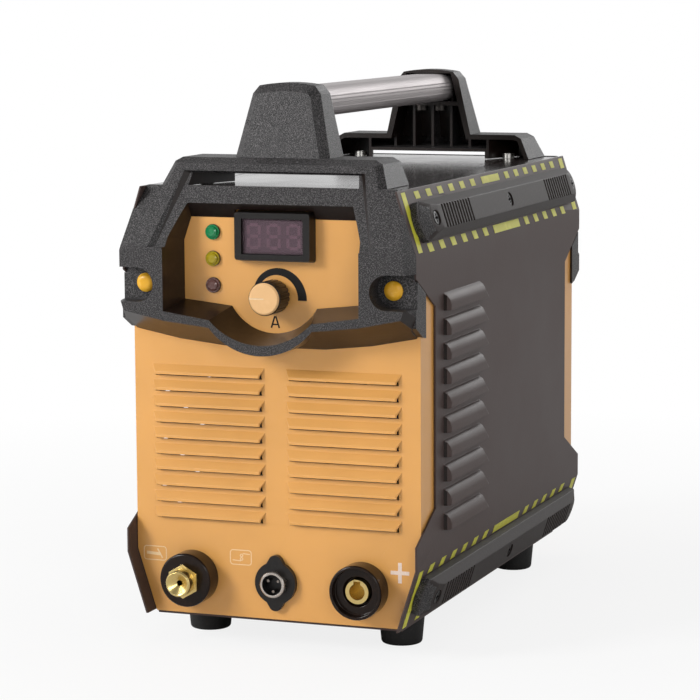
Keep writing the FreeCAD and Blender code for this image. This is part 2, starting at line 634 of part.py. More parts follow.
def frame_window(body):
    low_bow = "(view_bow_drop - 1.5)"
    rim = [("window_top_half", "window_visor"), ("-window_top_half", "window_visor"),
           ("-window_half", "window_shoulder"),
           ("-window_half", "window_low"), ("-bulge_half", "window_low - 4", low_bow),
           ("bulge_half", "window_low - 4"),
           ("window_half", "window_low"), ("window_half", "window_shoulder")]
    view = [("view_top_half", "view_top"), ("-view_top_half", "view_top"), ("-view_half", "view_shoulder"),
            ("-view_half", "view_low"), ("-view_bow_half", "view_low - 3", "view_bow_drop"),
            ("view_bow_half", "view_low - 3"),
            ("view_half", "view_low"), ("view_half", "view_shoulder")]
    loft(body, "Subtractive", "XZ_Plane", "window", [("-frame_reach - 0.5", rim), ("0", view)])
    relief = [middle_box("meter_across", "meter_height", "meter_width + 2 * seat_gap",
                         "meter_tall + 2 * seat_gap")]
    pocket(body, "XZ_Plane", "meter_relief", relief, "-meter_stand - 3", "1")
    fall = "((slot_half - slot_rear_half) / (frame_back + 1))"
    dip = "((slot_rise - slot_rear_rise) / (frame_back + 1))"
    far = "(frame_reach - 0.5)"
    wide = "slot_half + %s * %s" % (far, fall)
    tall = "slot_rise + %s * %s" % (far, dip)
    front = box_loop("-(%s)" % wide, DECK_SEAT, wide, "%s + %s" % (DECK_SEAT, tall))
    rear = box_loop("-slot_rear_half", DECK_SEAT, "slot_rear_half", DECK_SEAT + " + slot_rear_rise")
    loft(body, "Subtractive", "XZ_Plane", "slot",
         [("-frame_reach - 0.5", front), ("frame_back + 0.5", rear)])


def frame_recesses(body):
    """Side recesses with the bores for the frame screws under their caps."""
    floor = "-frame_reach + recess_depth"
    wide = "recess_width / 2"
    rings = [("circle", side + "cap_across", "cap_height", "recess_width") for side in ("", "-")]
    pocket(body, "XZ_Plane", "recess_rounds", rings, "-frame_reach - 1", floor)
    slots = [box_loop("cap_across", "cap_height - " + wide, "crease_half + 9", "cap_height + " + wide),
             box_loop("-crease_half - 9", "cap_height - " + wide, "-cap_across", "cap_height + " + wide)]
    pocket(body, "XZ_Plane", "recess_slots", slots, "-frame_reach - 1", floor)
    rings = [("circle", side + "cap_across", "cap_height", "cap_width") for side in ("", "-")]
    pocket(body, "XZ_Plane", "cap_bores", rings, floor + " - 1", floor + " + bore_depth")
    rings = [("circle", side + "cap_across", "cap_height", "frame_bolt + bolt_play") for side in ("", "-")]
    pocket(body, "XZ_Plane", "bolt_bores", rings, floor, "1")


def frame_hollows(body):
    """The hollow back of the hoop and of the post, open towards the handle bar."""
    roof = "hoop_top - frame_skin"
    leg_side = [("hoop_foot - frame_skin + 0.4", "cover_top"),
                ("hoop_half - frame_skin + 0.6", "hoop_top - frame_skin - 1"),
                ("hoop_half - hoop_corner - 1", roof)]
    front = [("slot_half + 0.8", "cover_top")] + leg_side + [("slot_half + 0.8", roof)]
    rear = [("slot_rear_half + 2.6", "cover_top")] + leg_side + [("slot_rear_half + 2.6", roof)]
    leg = loft(body, "Subtractive", "XZ_Plane", "leg_hollow", [("6", front), ("frame_back + 0.5", rear)])
    mirrored(body, "leg_hollows", [leg])
    front = box_loop("-slot_half + 1.5", DECK_SEAT + " + slot_rise + 1.2", "slot_half - 1.5", roof)
    rear = box_loop("-slot_rear_half - 1", DECK_SEAT + " + slot_rear_rise + 2", "slot_rear_half + 1", roof)
    loft(body, "Subtractive", "XZ_Plane", "hoop_hollow", [("6", front), ("frame_back + 0.5", rear)])
    skin = "frame_skin"
    low = box_loop("-post_foot + " + skin, "post_setback + " + skin, "post_foot - " + skin,
                   "frame_back + 0.5")
    high = box_loop("-post_half + 5.2", "post_setback + post_lean + 2.4", "post_half - 5.2",
                    "frame_back + 0.5")
    loft(body, "Subtractive", "XY_Plane", "post_hollow",
         [("hoop_top - frame_skin - 0.1", low), (BAR_TOP + " + 0.5", high)])


BAR_TOP = "(bar_middle + bar_height / 2)"
BAR_LOW = "(bar_middle - bar_height / 2)"
BAR_END = "(frame_back - bar_inset)"


def frame_ribs(body):
    """Upright ribs that stop the bar, and the shelf that carries it."""
    stop = BAR_END + " - seat_gap"
    lip = BAR_END + " + 1.5"
    roof = BAR_TOP + " + 1"
    rib = [("3.5", DECK_SEAT + " + slot_rise + 0.4"), (lip, DECK_SEAT + " + slot_rear_rise + 1.6"),
           (lip, BAR_LOW + " - 3"),
           (stop, BAR_LOW + " - 3"), (stop, roof), ("post_setback + post_lean + 1.6", roof),
           ("post_setback + 1.2", "hoop_top - 1.2"),
           ("4.5", "hoop_top - 1.2")]
    first = "-rib_pitch * (rib_count - 1) / 2"
    feature = pad(body, "YZ_Plane", "rib", [rib], first + " - rib_wall / 2", first + " + rib_wall / 2")
    row(body, "ribs", [feature], "X_Axis", "rib_pitch", "rib_count")
    stub = [("3.5", DECK_SEAT + " + slot_rise + 0.4"),
            ("frame_back - 8", DECK_SEAT + " + slot_rear_rise + 1.6"),
            ("frame_back - 8", "hoop_top - 1.2"), ("4.5", "hoop_top - 1.2")]
    near = pad(body, "YZ_Plane", "stub_near", [stub], "2 * rib_pitch - rib_wall / 2",
               "2 * rib_pitch + rib_wall / 2")
    mirrored(body, "stubs", [near])
    half = "(post_half + 1.6)"
    shelf = box_loop("-" + half, "post_setback + post_lean / 2 + 1", half, "frame_back - 2")
    top = BAR_LOW + " - seat_gap"
    pad(body, "XY_Plane", "shelf", [shelf], top + " - shelf_wall", top)
    rings = [("circle", side + "bar_screw_across", BAR_END + " + 4",
              "bar_screw + bolt_play") for side in ("", "-")]
    pocket(body, "XY_Plane", "shelf_holes", rings, top + " - shelf_wall - 0.5", top + " + 0.1")


def make_bar():
    body = new_body("handle_bar")
    half = "(%s - %s)" % (END, BAR_END)
    bow = "(bar_height / 2 - 0.4)"
    flat = "(bar_width / 2 - %s)" % bow
    oval = [(flat, BAR_LOW, bow), (flat, BAR_TOP), ("-" + flat, BAR_TOP, bow), ("-" + flat, BAR_LOW)]
    low = BAR_LOW + " + bar_wall"
    top = BAR_TOP + " - bar_wall"
    bow = "(bar_height / 2 - bar_wall - 0.4)"
    hole = [(flat, low, bow), (flat, top), ("-" + flat, top, bow), ("-" + flat, low)]
    pad(body, "XZ_Plane", "bar", [oval, hole], "-" + half, half)
    level = "bar_middle - 1.5 * groove_pitch"
    deep = "bar_width / 2 - groove_depth - 0.2"
    groove = pocket(body, "XZ_Plane", "groove",
                    [box_loop(deep, level + " - groove_width / 2", "bar_width / 2 + 1",
                              level + " + groove_width / 2")],
                    "-%s - 1" % half, half + " + 1")
    column = row(body, "groove_row", [groove], "Z_Axis", "groove_pitch", "4", in_set=True)
    mirror = body.newObject("PartDesign::Mirrored", "groove_mirror")
    mirror.MirrorPlane = (origin_of(body, "YZ_Plane"), [""])
    grooves = body.newObject("PartDesign::MultiTransform", "grooves")
    grooves.Originals = [groove]
    grooves.Transformations = [column, mirror]
    body.Tip = grooves
    rings = []
    for sign in ("-", ""):
        for side in ("-", ""):
            rings.append(("circle", side + "bar_screw_across", "%s(%s - 4)" % (sign, half),
                          "bar_screw + seat_gap"))
    pocket(body, "XY_Plane", "bar_holes", rings, BAR_LOW + " - 1", BAR_LOW + " + 1.5 * bar_wall")
    return keep(body)


def make_rear_frame():
    return keep(mirror_copy(pieces_by_label("front_frame"), "rear_frame", (0, 1, 0)))


def pieces_by_label(label):
    return [piece for piece in pieces if piece.Label == label][0]


# Screws are pads on round spots, with a cross cut into each head


def plus_loop(u, v, size, wide):
    half = "(%s) / 2" % size
    slim = "(%s) / 2" % wide
    points = [(slim, slim), (slim, half), ("-" + slim, half), ("-" + slim, slim), ("-" + half, slim),
              ("-" + half, "-" + slim),
              ("-" + slim, "-" + slim), ("-" + slim, "-" + half), (slim, "-" + half), (slim, "-" + slim),
              (half, "-" + slim), (half, slim)]
    return [("%s + (%s)" % (u, a), "%s + (%s)" % (v, b)) for a, b in points]


def hexagon(u, v, flats, first=0):
    """A hexagon whose first corner stands at an angle of first degrees."""
    corners = []
    for step in range(6):
        angle = math.radians(60 * step + first)
        corners.append(("%s + (%s) / sqrt(3) * %.6f" % (u, flats, math.cos(angle)),
                        "%s + (%s) / sqrt(3) * %.6f" % (v, flats, math.sin(angle))))
    return corners


def make_screws(label, role, spots, head, seat_at, top, shank, tip, inward):
    """Screws with their heads from the seat to the top and their shanks down to the tip."""
    body = new_body(label)
    heads = [("circle", u, v, head) for u, v in spots]
    shanks = [("circle", u, v, shank) for u, v in spots]
    crosses = [plus_loop(u, v, "%s * 0.62" % head, "%s * 0.16" % head) for u, v in spots]
    low, high = (seat_at, top) if inward else (top, seat_at)
    pad(body, role, "heads", heads, low, high)
    low, high = (tip, seat_at) if inward else (seat_at, tip)
    pad(body, role, "shanks", shanks, low, high)
    mark = "((%s) - (%s)) * 0.45" % ((top, seat_at) if inward else (seat_at, top))
    if inward:
        low, high = "%s - %s" % (top, mark), "%s + 0.1" % top
    else:
        low, high = "%s - 0.1" % top, "%s + %s" % (top, mark)
    if role == "XZ_Plane" or inward:
        pocket(body, role, "crosses", crosses, low, high)
    else:
        cut_upward(body, "crosses", crosses, low, high)
    return body


def cut_upward(body, name, loops, low, high):
    """A pocket that starts at its lower end, for heads that face down."""
    sketch = new_sketch(body, "XY_Plane", name + "_sketch", low, loops)
    feature = body.newObject("PartDesign::Pocket", name)
    feature.Profile = sketch
    feature.Reversed = True
    bind(feature, "Length", "(%s) - (%s)" % (high, low))
    return feature


def group(label, members):
    bundle = doc.addObject("Part::Compound", label)
    bundle.Links = members
    bundle.Label = label
    return keep(bundle)


def ends_and_sides(body, label):
    """Copies a fastener at the right of the front to all four corners."""
    left = mirror_copy(body, label + "_left", (1, 0, 0))
    rear_right = mirror_copy(body, label + "_rear_right", (0, 1, 0))
    rear_left = mirror_copy(left, label + "_rear_left", (0, 1, 0))
    return [body, left, rear_right, rear_left]


def make_frame_screws():
    floor = "(-frame_reach + recess_depth)"
    base = floor + " + bore_depth"
    screw = make_screws("frame_screw", "XZ_Plane", [("0", "0")], "cap_width - 1.8", base,
                        base + " - screw_head_rise",
                        "frame_bolt", base + " + 12", False)
    seat(screw, "cap_across", "-" + END, "cap_height")
    group("frame_screws", ends_and_sides(screw, "frame_screw"))
    cap = new_body("screw_cap")
    stub = "(cap_width / 2 - seat_gap)"
    wide = "(cap_width / 2 + 0.6)"
    turn(cap, "cap", [(floor + " + 1.4", "0"), (floor + " + 1.4", stub), (floor, stub), (floor, wide),
                      (floor + " - 1", wide),
                      (floor + " - cap_rise + 0.5", wide + " - 1.3"),
                      (floor + " - cap_rise", wide + " - 2.8"), (floor + " - cap_rise", "0")])
    seat(cap, "cap_across", "-" + END, "cap_height")
    group("screw_caps", ends_and_sides(cap, "screw_cap"))


def make_deck_and_handle_screws():
    corners = [(side + "deck_screw_across",
                "%s(%s - deck_screw_in)" % (end, END)) for side in ("", "-") for end in ("", "-")]
    keep(make_screws("deck_screws", "XY_Plane", corners, "deck_head", "cover_top",
                     "(cover_top + screw_head_rise)",
                     "deck_screw", "cover_top - 8", True))
    shelf = "(%s - seat_gap - shelf_wall)" % BAR_LOW
    corners = [(side + "bar_screw_across",
                "%s(%s - %s - 4)" % (end, END, BAR_END)) for side in ("", "-") for end in ("", "-")]
    keep(make_screws("handle_screws", "XY_Plane", corners, "deck_head", shelf,
                     "(%s - screw_head_rise)" % shelf,
                     "bar_screw", BAR_LOW + " + 4", False))


def seat_rail(thing):
    """Lays a rail piece flat on the upper right flap of the cover."""
    thing.Placement = FreeCAD.Placement(FreeCAD.Vector(), FreeCAD.Rotation(FreeCAD.Vector(0, 1, 0), -10))
    bind(thing, "Placement.Rotation.Angle", "-atan(flap_lean / flap_rise)")
    bind(thing, "Placement.Base.x", HALF + " - flap_lean / 2 + rail_drop * flap_lean / flap_rise")
    bind(thing, "Placement.Base.z", "cover_top - flap_rise / 2 - rail_drop")
    return thing


def rail_level(inset, half):
    """One level of a rail, with straight sides and bowed ends."""
    bow = "(rail_round * (%s) / (rail_height / 2))" % half
    bend = "(rail_length / 2 - (%s) - %s)" % (inset, bow)
    return [("-" + bend, "-(%s)" % half), (bend, "-(%s)" % half, bow), (bend, half),
            ("-" + bend, half, bow)]


def make_rails():
    body = new_body("bumper_upper_right")
    tall = "rail_height / 2"
    slim = "(rail_height / 2 - rail_bevel)"
    pad(body, "YZ_Plane", "base", [rail_level("0", tall)], "0", "rail_base")
    loft(body, "Additive", "YZ_Plane", "crown", [
        ("rail_base", rail_level("1.5", tall)),
        ("rail_stand - rail_bevel", rail_level("2.4", tall)),
        ("rail_stand - 1.4", rail_level("rail_end / 2", slim + " + 1.4")),
        ("rail_stand", rail_level("rail_end", slim))])
    spots = [("%s(rail_length / 2 - rail_screw_inset)" % end, "0") for end in ("", "-")] + [("0", "0")]
    base = "rail_stand - rail_screw_sink"
    pocket(body, "YZ_Plane", "recesses",
           [("circle", u, v, "rail_screw_head + 2 * seat_gap") for u, v in spots], base, "rail_stand + 1")
    pocket(body, "YZ_Plane", "bores", [("circle", u, v, "rail_screw + bolt_play") for u, v in spots], "-1",
           base + " + 1")
    start = "(-rail_length / 2 + grip_inset)"
    groove = pocket(body, "YZ_Plane", "grip",
                    [box_loop(start, "-" + slim, start + " + grip_width", slim)],
                    "rail_stand - grip_depth", "rail_stand + 1")
    column = row(body, "grip_row", [groove], "Y_Axis", "grip_pitch", "grip_count", in_set=True)
    mirror = body.newObject("PartDesign::Mirrored", "grip_mirror")
    mirror.MirrorPlane = (origin_of(body, "XZ_Plane"), [""])
    grips = body.newObject("PartDesign::MultiTransform", "grips")
    grips.Originals = [groove]
    grips.Transformations = [column, mirror]
    body.Tip = grips
    seat_rail(body)
    keep(body)
    middle = "(cover_low + cover_top) / 2"
    left = keep(mirror_copy(body, "bumper_upper_left", (1, 0, 0)))
    keep(mirror_copy(body, "bumper_lower_right", (0, 0, 1), middle))
    keep(mirror_copy(left, "bumper_lower_left", (0, 0, 1), middle))
    screws = make_screws("bumper_screw_set", "YZ_Plane", spots, "rail_screw_head", base,
                         "(%s + screw_head_rise)" % base,
                         "rail_screw", "-3.5", True)
    seat_rail(screws)
    other = mirror_copy(screws, "bumper_screw_left", (1, 0, 0))
    low = mirror_copy(screws, "bumper_screw_low_right", (0, 0, 1), middle)
    low_other = mirror_copy(other, "bumper_screw_low_left", (0, 0, 1), middle)
    group("bumper_screws", [screws, other, low, low_other])


# Base tray and feet


def flank(height):
    """Half width of the tray at a height on the leaning lower flap."""
    return "(%s - %s - (cover_low + flap_rise - (%s)) * %s)" % (HALF, flap_shift(PANEL_INSET), height, LEAN)


def make_tray():
    body = new_body("base_tray")
    floor = both([(flank("foot_height"), "foot_height"), (flank(TRAY_TOP), TRAY_TOP)])
    pad(body, "XZ_Plane", "floor", [floor], "-%s + 5 * seat_gap" % END, END + " - 5 * seat_gap")
    top = "(foot_height + tray_flange)"
    wall = flap_shift("sheet_wall")
    sides = []
    for side in ("", "-"):
        sides.append([("%s(%s)" % (side, flank("foot_height + 0.2")), "foot_height + 0.2"),
                      ("%s(%s)" % (side, flank(top)), top),
                      ("%s(%s - %s)" % (side, flank(top), wall), top),
                      ("%s(%s - %s)" % (side, flank("foot_height + 0.2"), wall), "foot_height + 0.2")])
    reach = "(%s - panel_flange - 1)" % END
    pad(body, "XZ_Plane", "sides", sides, "-" + reach, reach)
    pocket(body, "XY_Plane", "foot_holes", [("circle", x, y, "foot_bore") for x, y in FOOT_SPOTS],
           "foot_height - 1", TRAY_TOP + " + 1")
    return keep(body)


FOOT_SPOTS = [(side + "foot_across", end + "foot_along") for side in ("-", "") for end in ("-", "")]


def make_feet():
    for label, (across, along) in zip(("foot_front_left", "foot_rear_left", "foot_front_right",
                                       "foot_rear_right"), FOOT_SPOTS):
        body = new_body(label)
        turn(body, "foot", [("foot_bore / 2", "foot_sink"), ("foot_head / 2 + 0.6", "foot_sink"),
                            ("foot_head / 2 + 0.6", "0"),
                            ("foot_width / 2 - foot_taper - 1", "0"), ("foot_width / 2 - foot_taper", "1"),
                            ("foot_width / 2", "foot_height"),
                            ("foot_bore / 2", "foot_height")], "XZ_Plane", "V_Axis")
        seat(body, across, along)
        keep(body)
    keep(make_screws("foot_screws", "XY_Plane", FOOT_SPOTS, "foot_head", "foot_sink",
                     "(foot_sink - screw_head_rise)",
                     "foot_screw", TRAY_TOP + " + 7", False))


# Meter, lamps and setting knob, each drawn from the face of the front panel


def front(body, across, height):
    return keep(seat(body, across, "-" + END, height))


def centred(width, tall):
    return middle_box("0", "0", width, tall)


def soft_box(width, tall, corner):
    """A rectangle in the middle, with rounded corners."""
    far = "((%s) / 2)" % width
    high = "((%s) / 2)" % tall
    bow = "(%s) * (1 - sqrt(0.5))" % corner
    near = "(%s - %s)" % (far, corner)
    low = "(%s - %s)" % (high, corner)
    return [(near, "-" + high, bow), (far, "-" + low), (far, low, bow), (near, high),
            ("-" + near, high, bow), ("-" + far, low), ("-" + far, "-" + low, bow), ("-" + near, "-" + high)]


def make_meter():
    wide = "(meter_width - 2 * meter_cheek)"
    tall = "(meter_tall - 2 * meter_lip)"
    housing = new_body("meter_housing")
    loft(housing, "Additive", "XZ_Plane", "bezel", [
        ("0", soft_box("meter_width", "meter_tall", "meter_corner")),
        ("-meter_stand", soft_box("meter_width - 2", "meter_tall - 2", "meter_corner"))])
    pad(housing, "XZ_Plane", "tail", [centred(wide, tall)], "0", "meter_depth")
    ledge = "(-meter_stand + meter_sink + lens_wall)"
    pocket(housing, "XZ_Plane", "window_seat", [centred(wide, tall)], "-meter_stand - 1", ledge)
    pocket(housing, "XZ_Plane", "display_well", [centred(wide + " - 1.6", tall + " - 1.6")], ledge + " - 1",
           "-1")
    front(housing, "meter_across", "meter_height")
    window = new_body("meter_window")
    pad(window, "XZ_Plane", "pane", [centred(wide + " - 2 * seat_gap", tall + " - 2 * seat_gap")],
        ledge + " - lens_wall", ledge)
    front(window, "meter_across", "meter_height")
    display = new_body("meter_display")
    pad(display, "XZ_Plane", "module",
        [centred(wide + " - 1.6 - 2 * seat_gap", tall + " - 1.6 - 2 * seat_gap")], ledge + " + seat_gap",
        "-1")
    front(display, "meter_across", "meter_height")


def make_lamps():
    bezels = new_body("lamp_bezels")
    levels = ["-%d * lamp_pitch" % number for number in range(3)]
    pad(bezels, "XZ_Plane", "rims", [("circle", "0", level, "lamp_width") for level in levels],
        "-lamp_stand", "0")
    pad(bezels, "XZ_Plane", "barrels", [("circle", "0", level, "lamp_barrel") for level in levels], "0",
        "12")
    pocket(bezels, "XZ_Plane", "cups",
           [("circle", "0", level, "lamp_lens + 2 * seat_gap") for level in levels], "-lamp_stand - 1",
           "-0.2")
    front(bezels, "-lamp_across", "lamp_top")
    radius = "lamp_lens / 2"
    for number, tint in enumerate(("green", "yellow", "violet")):
        lens = new_body("lamp_lens_" + tint)
        brim = "lamp_width / 2 - 0.2"
        turn(lens, "lens", [("-0.2", "0"), ("-0.2", radius), ("-lamp_stand", radius), ("-lamp_stand", brim),
                            ("-lamp_stand - 0.8", brim), ("-lamp_stand - 0.8", radius + " + 0.2"),
                            ("-lamp_stand - lamp_dome + 0.6", radius),
                            ("-lamp_stand - lamp_dome", radius + " - 1"),
                            ("-lamp_stand - lamp_dome - 0.2", "0")])
        front(lens, "-lamp_across", "lamp_top - %d * lamp_pitch" % number)


def make_knob():
    knob = new_body("current_knob")
    base = "-knob_gap"
    face = "(-knob_gap - knob_length)"
    outer = "knob_width / 2"
    turn(knob, "grip", [(base, "pot_nut / 2 + 1.2"), (base, outer), (face + " + 0.6", outer),
                        (face, outer + " - 0.6"), (face, "0"),
                        (face + " + 1.2", "0"), (face + " + 1.2", "shaft_width / 2"),
                        ("-bush_stand - 1", "shaft_width / 2"),
                        ("-bush_stand - 1", "pot_nut / 2 + 1.2")])
    flute = pocket(knob, "XZ_Plane", "flute",
                   [("circle", outer + " + flute_width * 0.12", "0", "flute_width")], face + " + 0.9",
                   base + " + 1")
    around(knob, "flutes", [flute], "Y_Axis", "knob_flutes")
    front(knob, "knob_across", "knob_height")
    cap = new_body("knob_cap")
    wide = "knob_cap_width / 2"
    top = "(%s - knob_cap_rise)" % face
    turn(cap, "disc", [(face, "0"), (face, wide), (top + " + 0.8", wide), (top, wide + " - 0.9"),
                       (top, "0")])
    line = box_loop("-(%s) - 1" % wide, "-pointer_width / 2", "0", "pointer_width / 2")
    pocket(cap, "XZ_Plane", "pointer", [line], top + " - 1", top + " + 0.4")
    front(cap, "knob_across", "knob_height")
    pot = new_body("potentiometer_body")
    bore = "(shaft_width + shaft_play) / 2"
    turn(pot, "case", [("-bush_stand", bore), ("-bush_stand", "bush_width / 2"),
                       ("sheet_wall", "bush_width / 2"), ("sheet_wall", "pot_width / 2"),
                       ("sheet_wall + pot_depth", "pot_width / 2"), ("sheet_wall + pot_depth", "0"),
                       ("pot_depth - 0.8", "0"),
                       ("pot_depth - 0.8", "pot_width / 2 - 2"), ("sheet_wall + 2", "pot_width / 2 - 2"),
                       ("sheet_wall + 2", bore)])
    front(pot, "knob_across", "knob_height")
    nut = new_body("potentiometer_nut")
    pad(nut, "XZ_Plane", "nut", [hexagon("0", "0", "pot_nut * 0.9"),
                                 ("circle", "0", "0", "bush_width + 2 * seat_gap")], "-pot_nut_wall", "0")
    front(nut, "knob_across", "knob_height")
    shaft = new_body("potentiometer_shaft")
    turn(shaft, "spindle", [(face + " + 1.3", "0"), (face + " + 1.3", "shaft_width / 2"),
                            ("sheet_wall + 2.3", "shaft_width / 2"),
                            ("sheet_wall + 2.3", "pot_width / 2 - 3.5"),
                            ("sheet_wall + 3.8", "pot_width / 2 - 3.5"), ("sheet_wall + 3.8", "0")])
    front(shaft, "knob_across", "knob_height")


# Torch, control and work-lead sockets


def make_torch():
    ring = new_body("torch_ring")
    deep = "(-ring_stand)"
    wide = "ring_width / 2"
    tail = "fitting_tail / 2"
    turn(ring, "ring", [("0", tail + " + seat_gap"), ("0", wide), ("-ring_stand + 0.8", wide),
                        (deep, wide + " - 0.8"), (deep, tail + " + seat_gap")])
    front(ring, "-socket_across", "socket_height")
    fitting = new_body("torch_fitting")
    pad(fitting, "XZ_Plane", "hex", [hexagon("0", "0", "hex_width", 30)], "-hex_stand", deep)
    nose = "nipple_width / 2"
    turn(fitting, "barrel", [("fitting_tail_length", "nipple_bore / 2"), ("fitting_tail_length", tail),
                             (deep + " - 1", tail),
                             (deep + " - 1", nose), ("-nipple_stand + 0.8", nose),
                             ("-nipple_stand", nose + " - 0.8"),
                             ("-nipple_stand", "nipple_mouth / 2"),
                             ("-nipple_stand + 3.2", "nipple_bore / 2")])
    pocket(fitting, "XZ_Plane", "bore", [("circle", "0", "0", "nipple_bore")], "-hex_stand - 3",
           deep + " + 3")
    front(fitting, "-socket_across", "socket_height")


def make_control():
    flange = new_body("control_flange")
    pad(flange, "XZ_Plane", "disc", [("circle", "0", "0", "flange_width")], "-flange_wall", "0")
    shoulder = "(flange_tall / 2 - 1.4)"
    ears = [("ear_foot", "-4"), ("ear_foot", "4"), ("ear_tip", shoulder, "1.3"), ("-ear_tip", shoulder),
            ("-ear_foot", "4"),
            ("-ear_foot", "-4"), ("-ear_tip", "-" + shoulder, "1.3"), ("ear_tip", "-" + shoulder)]
    pad(flange, "XZ_Plane", "ears", [ears], "-flange_wall", "0")
    hole = ("circle", "0", "0", "collar_width - 1 + 2 * seat_gap")
    pocket(flange, "XZ_Plane", "hole", [hole], "-flange_wall - 1", "1")
    front(flange, "0", "socket_height")
    shell = new_body("control_shell")
    wide = "collar_width / 2"
    tail = wide + " - 0.5"
    shoulder = "-flange_wall - seat_gap"
    turn(shell, "shell", [("12", "0"), ("12", tail), (shoulder, tail), (shoulder, wide),
                          ("-collar_stand + 0.5", wide),
                          ("-collar_stand", tail), ("-collar_stand", wide + " - 1.5"),
                          ("-1", wide + " - 1.5"), ("-1", "0")])
    front(shell, "0", "socket_height")
    pins = new_body("control_pins")
    spots = [("0", "-4"), ("2.9", "1.9"), ("-2.9", "1.9")]
    pad(pins, "XZ_Plane", "pins", [("circle", u, v, "pin_width") for u, v in spots], "-pin_stand", "-1")
    front(pins, "0", "socket_height")


def make_power_socket():
    housing = new_body("positive_housing")
    wide = "ring_width / 2"
    tail = "(insert_width + 4) / 2"
    bore = "(insert_width / 2 + seat_gap)"
    cup = "power_bore / 2"
    floor = "(-power_stand + cup_depth)"
    well = "(insert_width / 2 + 1.6)"
    turn(housing, "housing", [("14", bore), ("14", tail), ("0", tail), ("0", wide),
                              ("-power_stand + 0.8", wide),
                              ("-power_stand", wide + " - 0.6"), ("-power_stand", cup), (floor, cup),
                              (floor, well),
                              ("-4", well), ("-4", bore)])
    front(housing, "socket_across", "socket_height")
    insert = new_body("positive_insert")
    turn(insert, "insert", [("insert_tail", "0"), ("insert_tail", "insert_width / 2"),
                            ("-insert_stand", "insert_width / 2"),
                            ("-insert_stand", "insert_bore / 2"), ("10", "insert_bore / 2"), ("10", "0")])
    pocket(insert, "XZ_Plane", "keyway",
           [box_loop("-key_width / 2", "0", "key_width / 2", "insert_width / 2 - 0.8")],
           "-insert_stand - 1", "10")
    front(insert, "socket_across", "socket_height")


# Rear end: fan, switch, gland, air inlet and earth screw, drawn from the rear panel's face


def rear(body, across, height):
    """Turns a rear fitting round; across is measured as seen from behind."""
    return keep(seat(body, "-(%s)" % across, END, height, turned=True))


def make_fan():
    frame = new_body("fan_frame")
    near = "sheet_wall"
    far = "(sheet_wall + fan_depth)"
    corners = [(side + "fan_pitch / 2",
                level + "fan_pitch / 2") for side in ("-", "") for level in ("-", "")]
    pad(frame, "XZ_Plane", "block", [centred("fan_width", "fan_width"), ("circle", "0", "0", "fan_bore")],
        near, far)
    pad(frame, "XZ_Plane", "struts", [centred("fan_bore + 2", "5")], near, near + " + 3.4")
    pad(frame, "XZ_Plane", "struts_up", [centred("5", "fan_bore + 2")], near, near + " + 3.4")
    pad(frame, "XZ_Plane", "plate", [("circle", "0", "0", "stator_width")], near, near + " + 3.4")
    pad(frame, "XZ_Plane", "boss", [("circle", "0", "0", "axle_width + 6")], near, near + " + 15")
    pocket(frame, "XZ_Plane", "axle_bore", [("circle", "0", "0", "axle_width + axle_play")], near + " + 1",
           far)
    pocket(frame, "XZ_Plane", "corner_bores",
           [("circle", u, v, "fan_screw + bolt_play") for u, v in corners], near + " - 1", far + " + 1")
    rear(frame, "0", "fan_height")
    rotor = new_body("fan_rotor")
    front_face = far + " - 1"
    back_face = near + " + 4.4"
    turn(rotor, "hub", [(front_face, "0"), (front_face, "hub_width / 2 - 1.5"),
                        (front_face + " - 1.5", "hub_width / 2"), (back_face, "hub_width / 2"),
                        (back_face, "hub_width / 2 - 2"), (front_face + " - 3", "hub_width / 2 - 2"),
                        (front_face + " - 3", "axle_width / 2"),
                        (near + " + 1.5", "axle_width / 2"), (near + " + 1.5", "0")])
    middle = "(%s + %s) / 2" % (front_face, back_face)
    root = blade_loop(middle, "7.5", "8.5")
    tip = blade_loop(middle, "6.0", "11.5")
    blade = loft(rotor, "Additive", "YZ_Plane", "blade",
                 [("hub_width / 2 - 1", root), ("blade_tip / 2", tip)])
    around(rotor, "blades", [blade], "Y_Axis", "blade_count")
    rear(rotor, "0", "fan_height")
    guard = new_body("fan_guard")
    wires = [("circle", "-guard_stand", "guard_width / 2 * %d / guard_rings" % step,
              "guard_wire") for step in range(1, 6)]
    sketch = new_sketch(guard, "YZ_Plane", "rings_sketch", "0", wires)
    rings = guard.newObject("PartDesign::Revolution", "rings")
    rings.Profile = sketch
    rings.ReferenceAxis = (sketch, ["H_Axis"])
    rings.Angle = 360
    for number, slope in enumerate((1, -1)):
        bar = diagonal(slope, "fan_pitch / sqrt(2) - 5")
        pad(guard, "XZ_Plane", "spoke%d" % number, [bar], "-guard_stand", "-guard_stand + guard_wire * 0.9")
    legs = [diagonal_piece(a, b) for a in (1, -1) for b in (1, -1)]
    pad(guard, "XZ_Plane", "legs", legs, "-guard_stand", "0")
    pad(guard, "XZ_Plane", "eyes", [("circle", u, v, "fan_screw * 2.4") for u, v in corners], "-1.6", "0")
    pocket(guard, "XZ_Plane", "eye_holes", [("circle", u, v, "fan_screw + bolt_play") for u, v in corners],
           "-guard_stand - 3", "1")
    rear(guard, "0", "fan_height")
    screws = make_screws("fan_screws", "XZ_Plane", corners, "deck_head", "-1.6", "(-1.6 - screw_head_rise)",
                         "fan_screw", far + " + 1.5", False)
    rear(screws, "0", "fan_height")


def blade_loop(middle, along, across):
    """A thin slanting blade section in the plane through the fan's axis."""
    return [("%s - %s" % (middle, along), "-%s" % across),
            ("%s - %s + 1.8" % (middle, along), "-%s" % across),
            ("%s + %s" % (middle, along), across), ("%s + %s - 1.8" % (middle, along), across)]


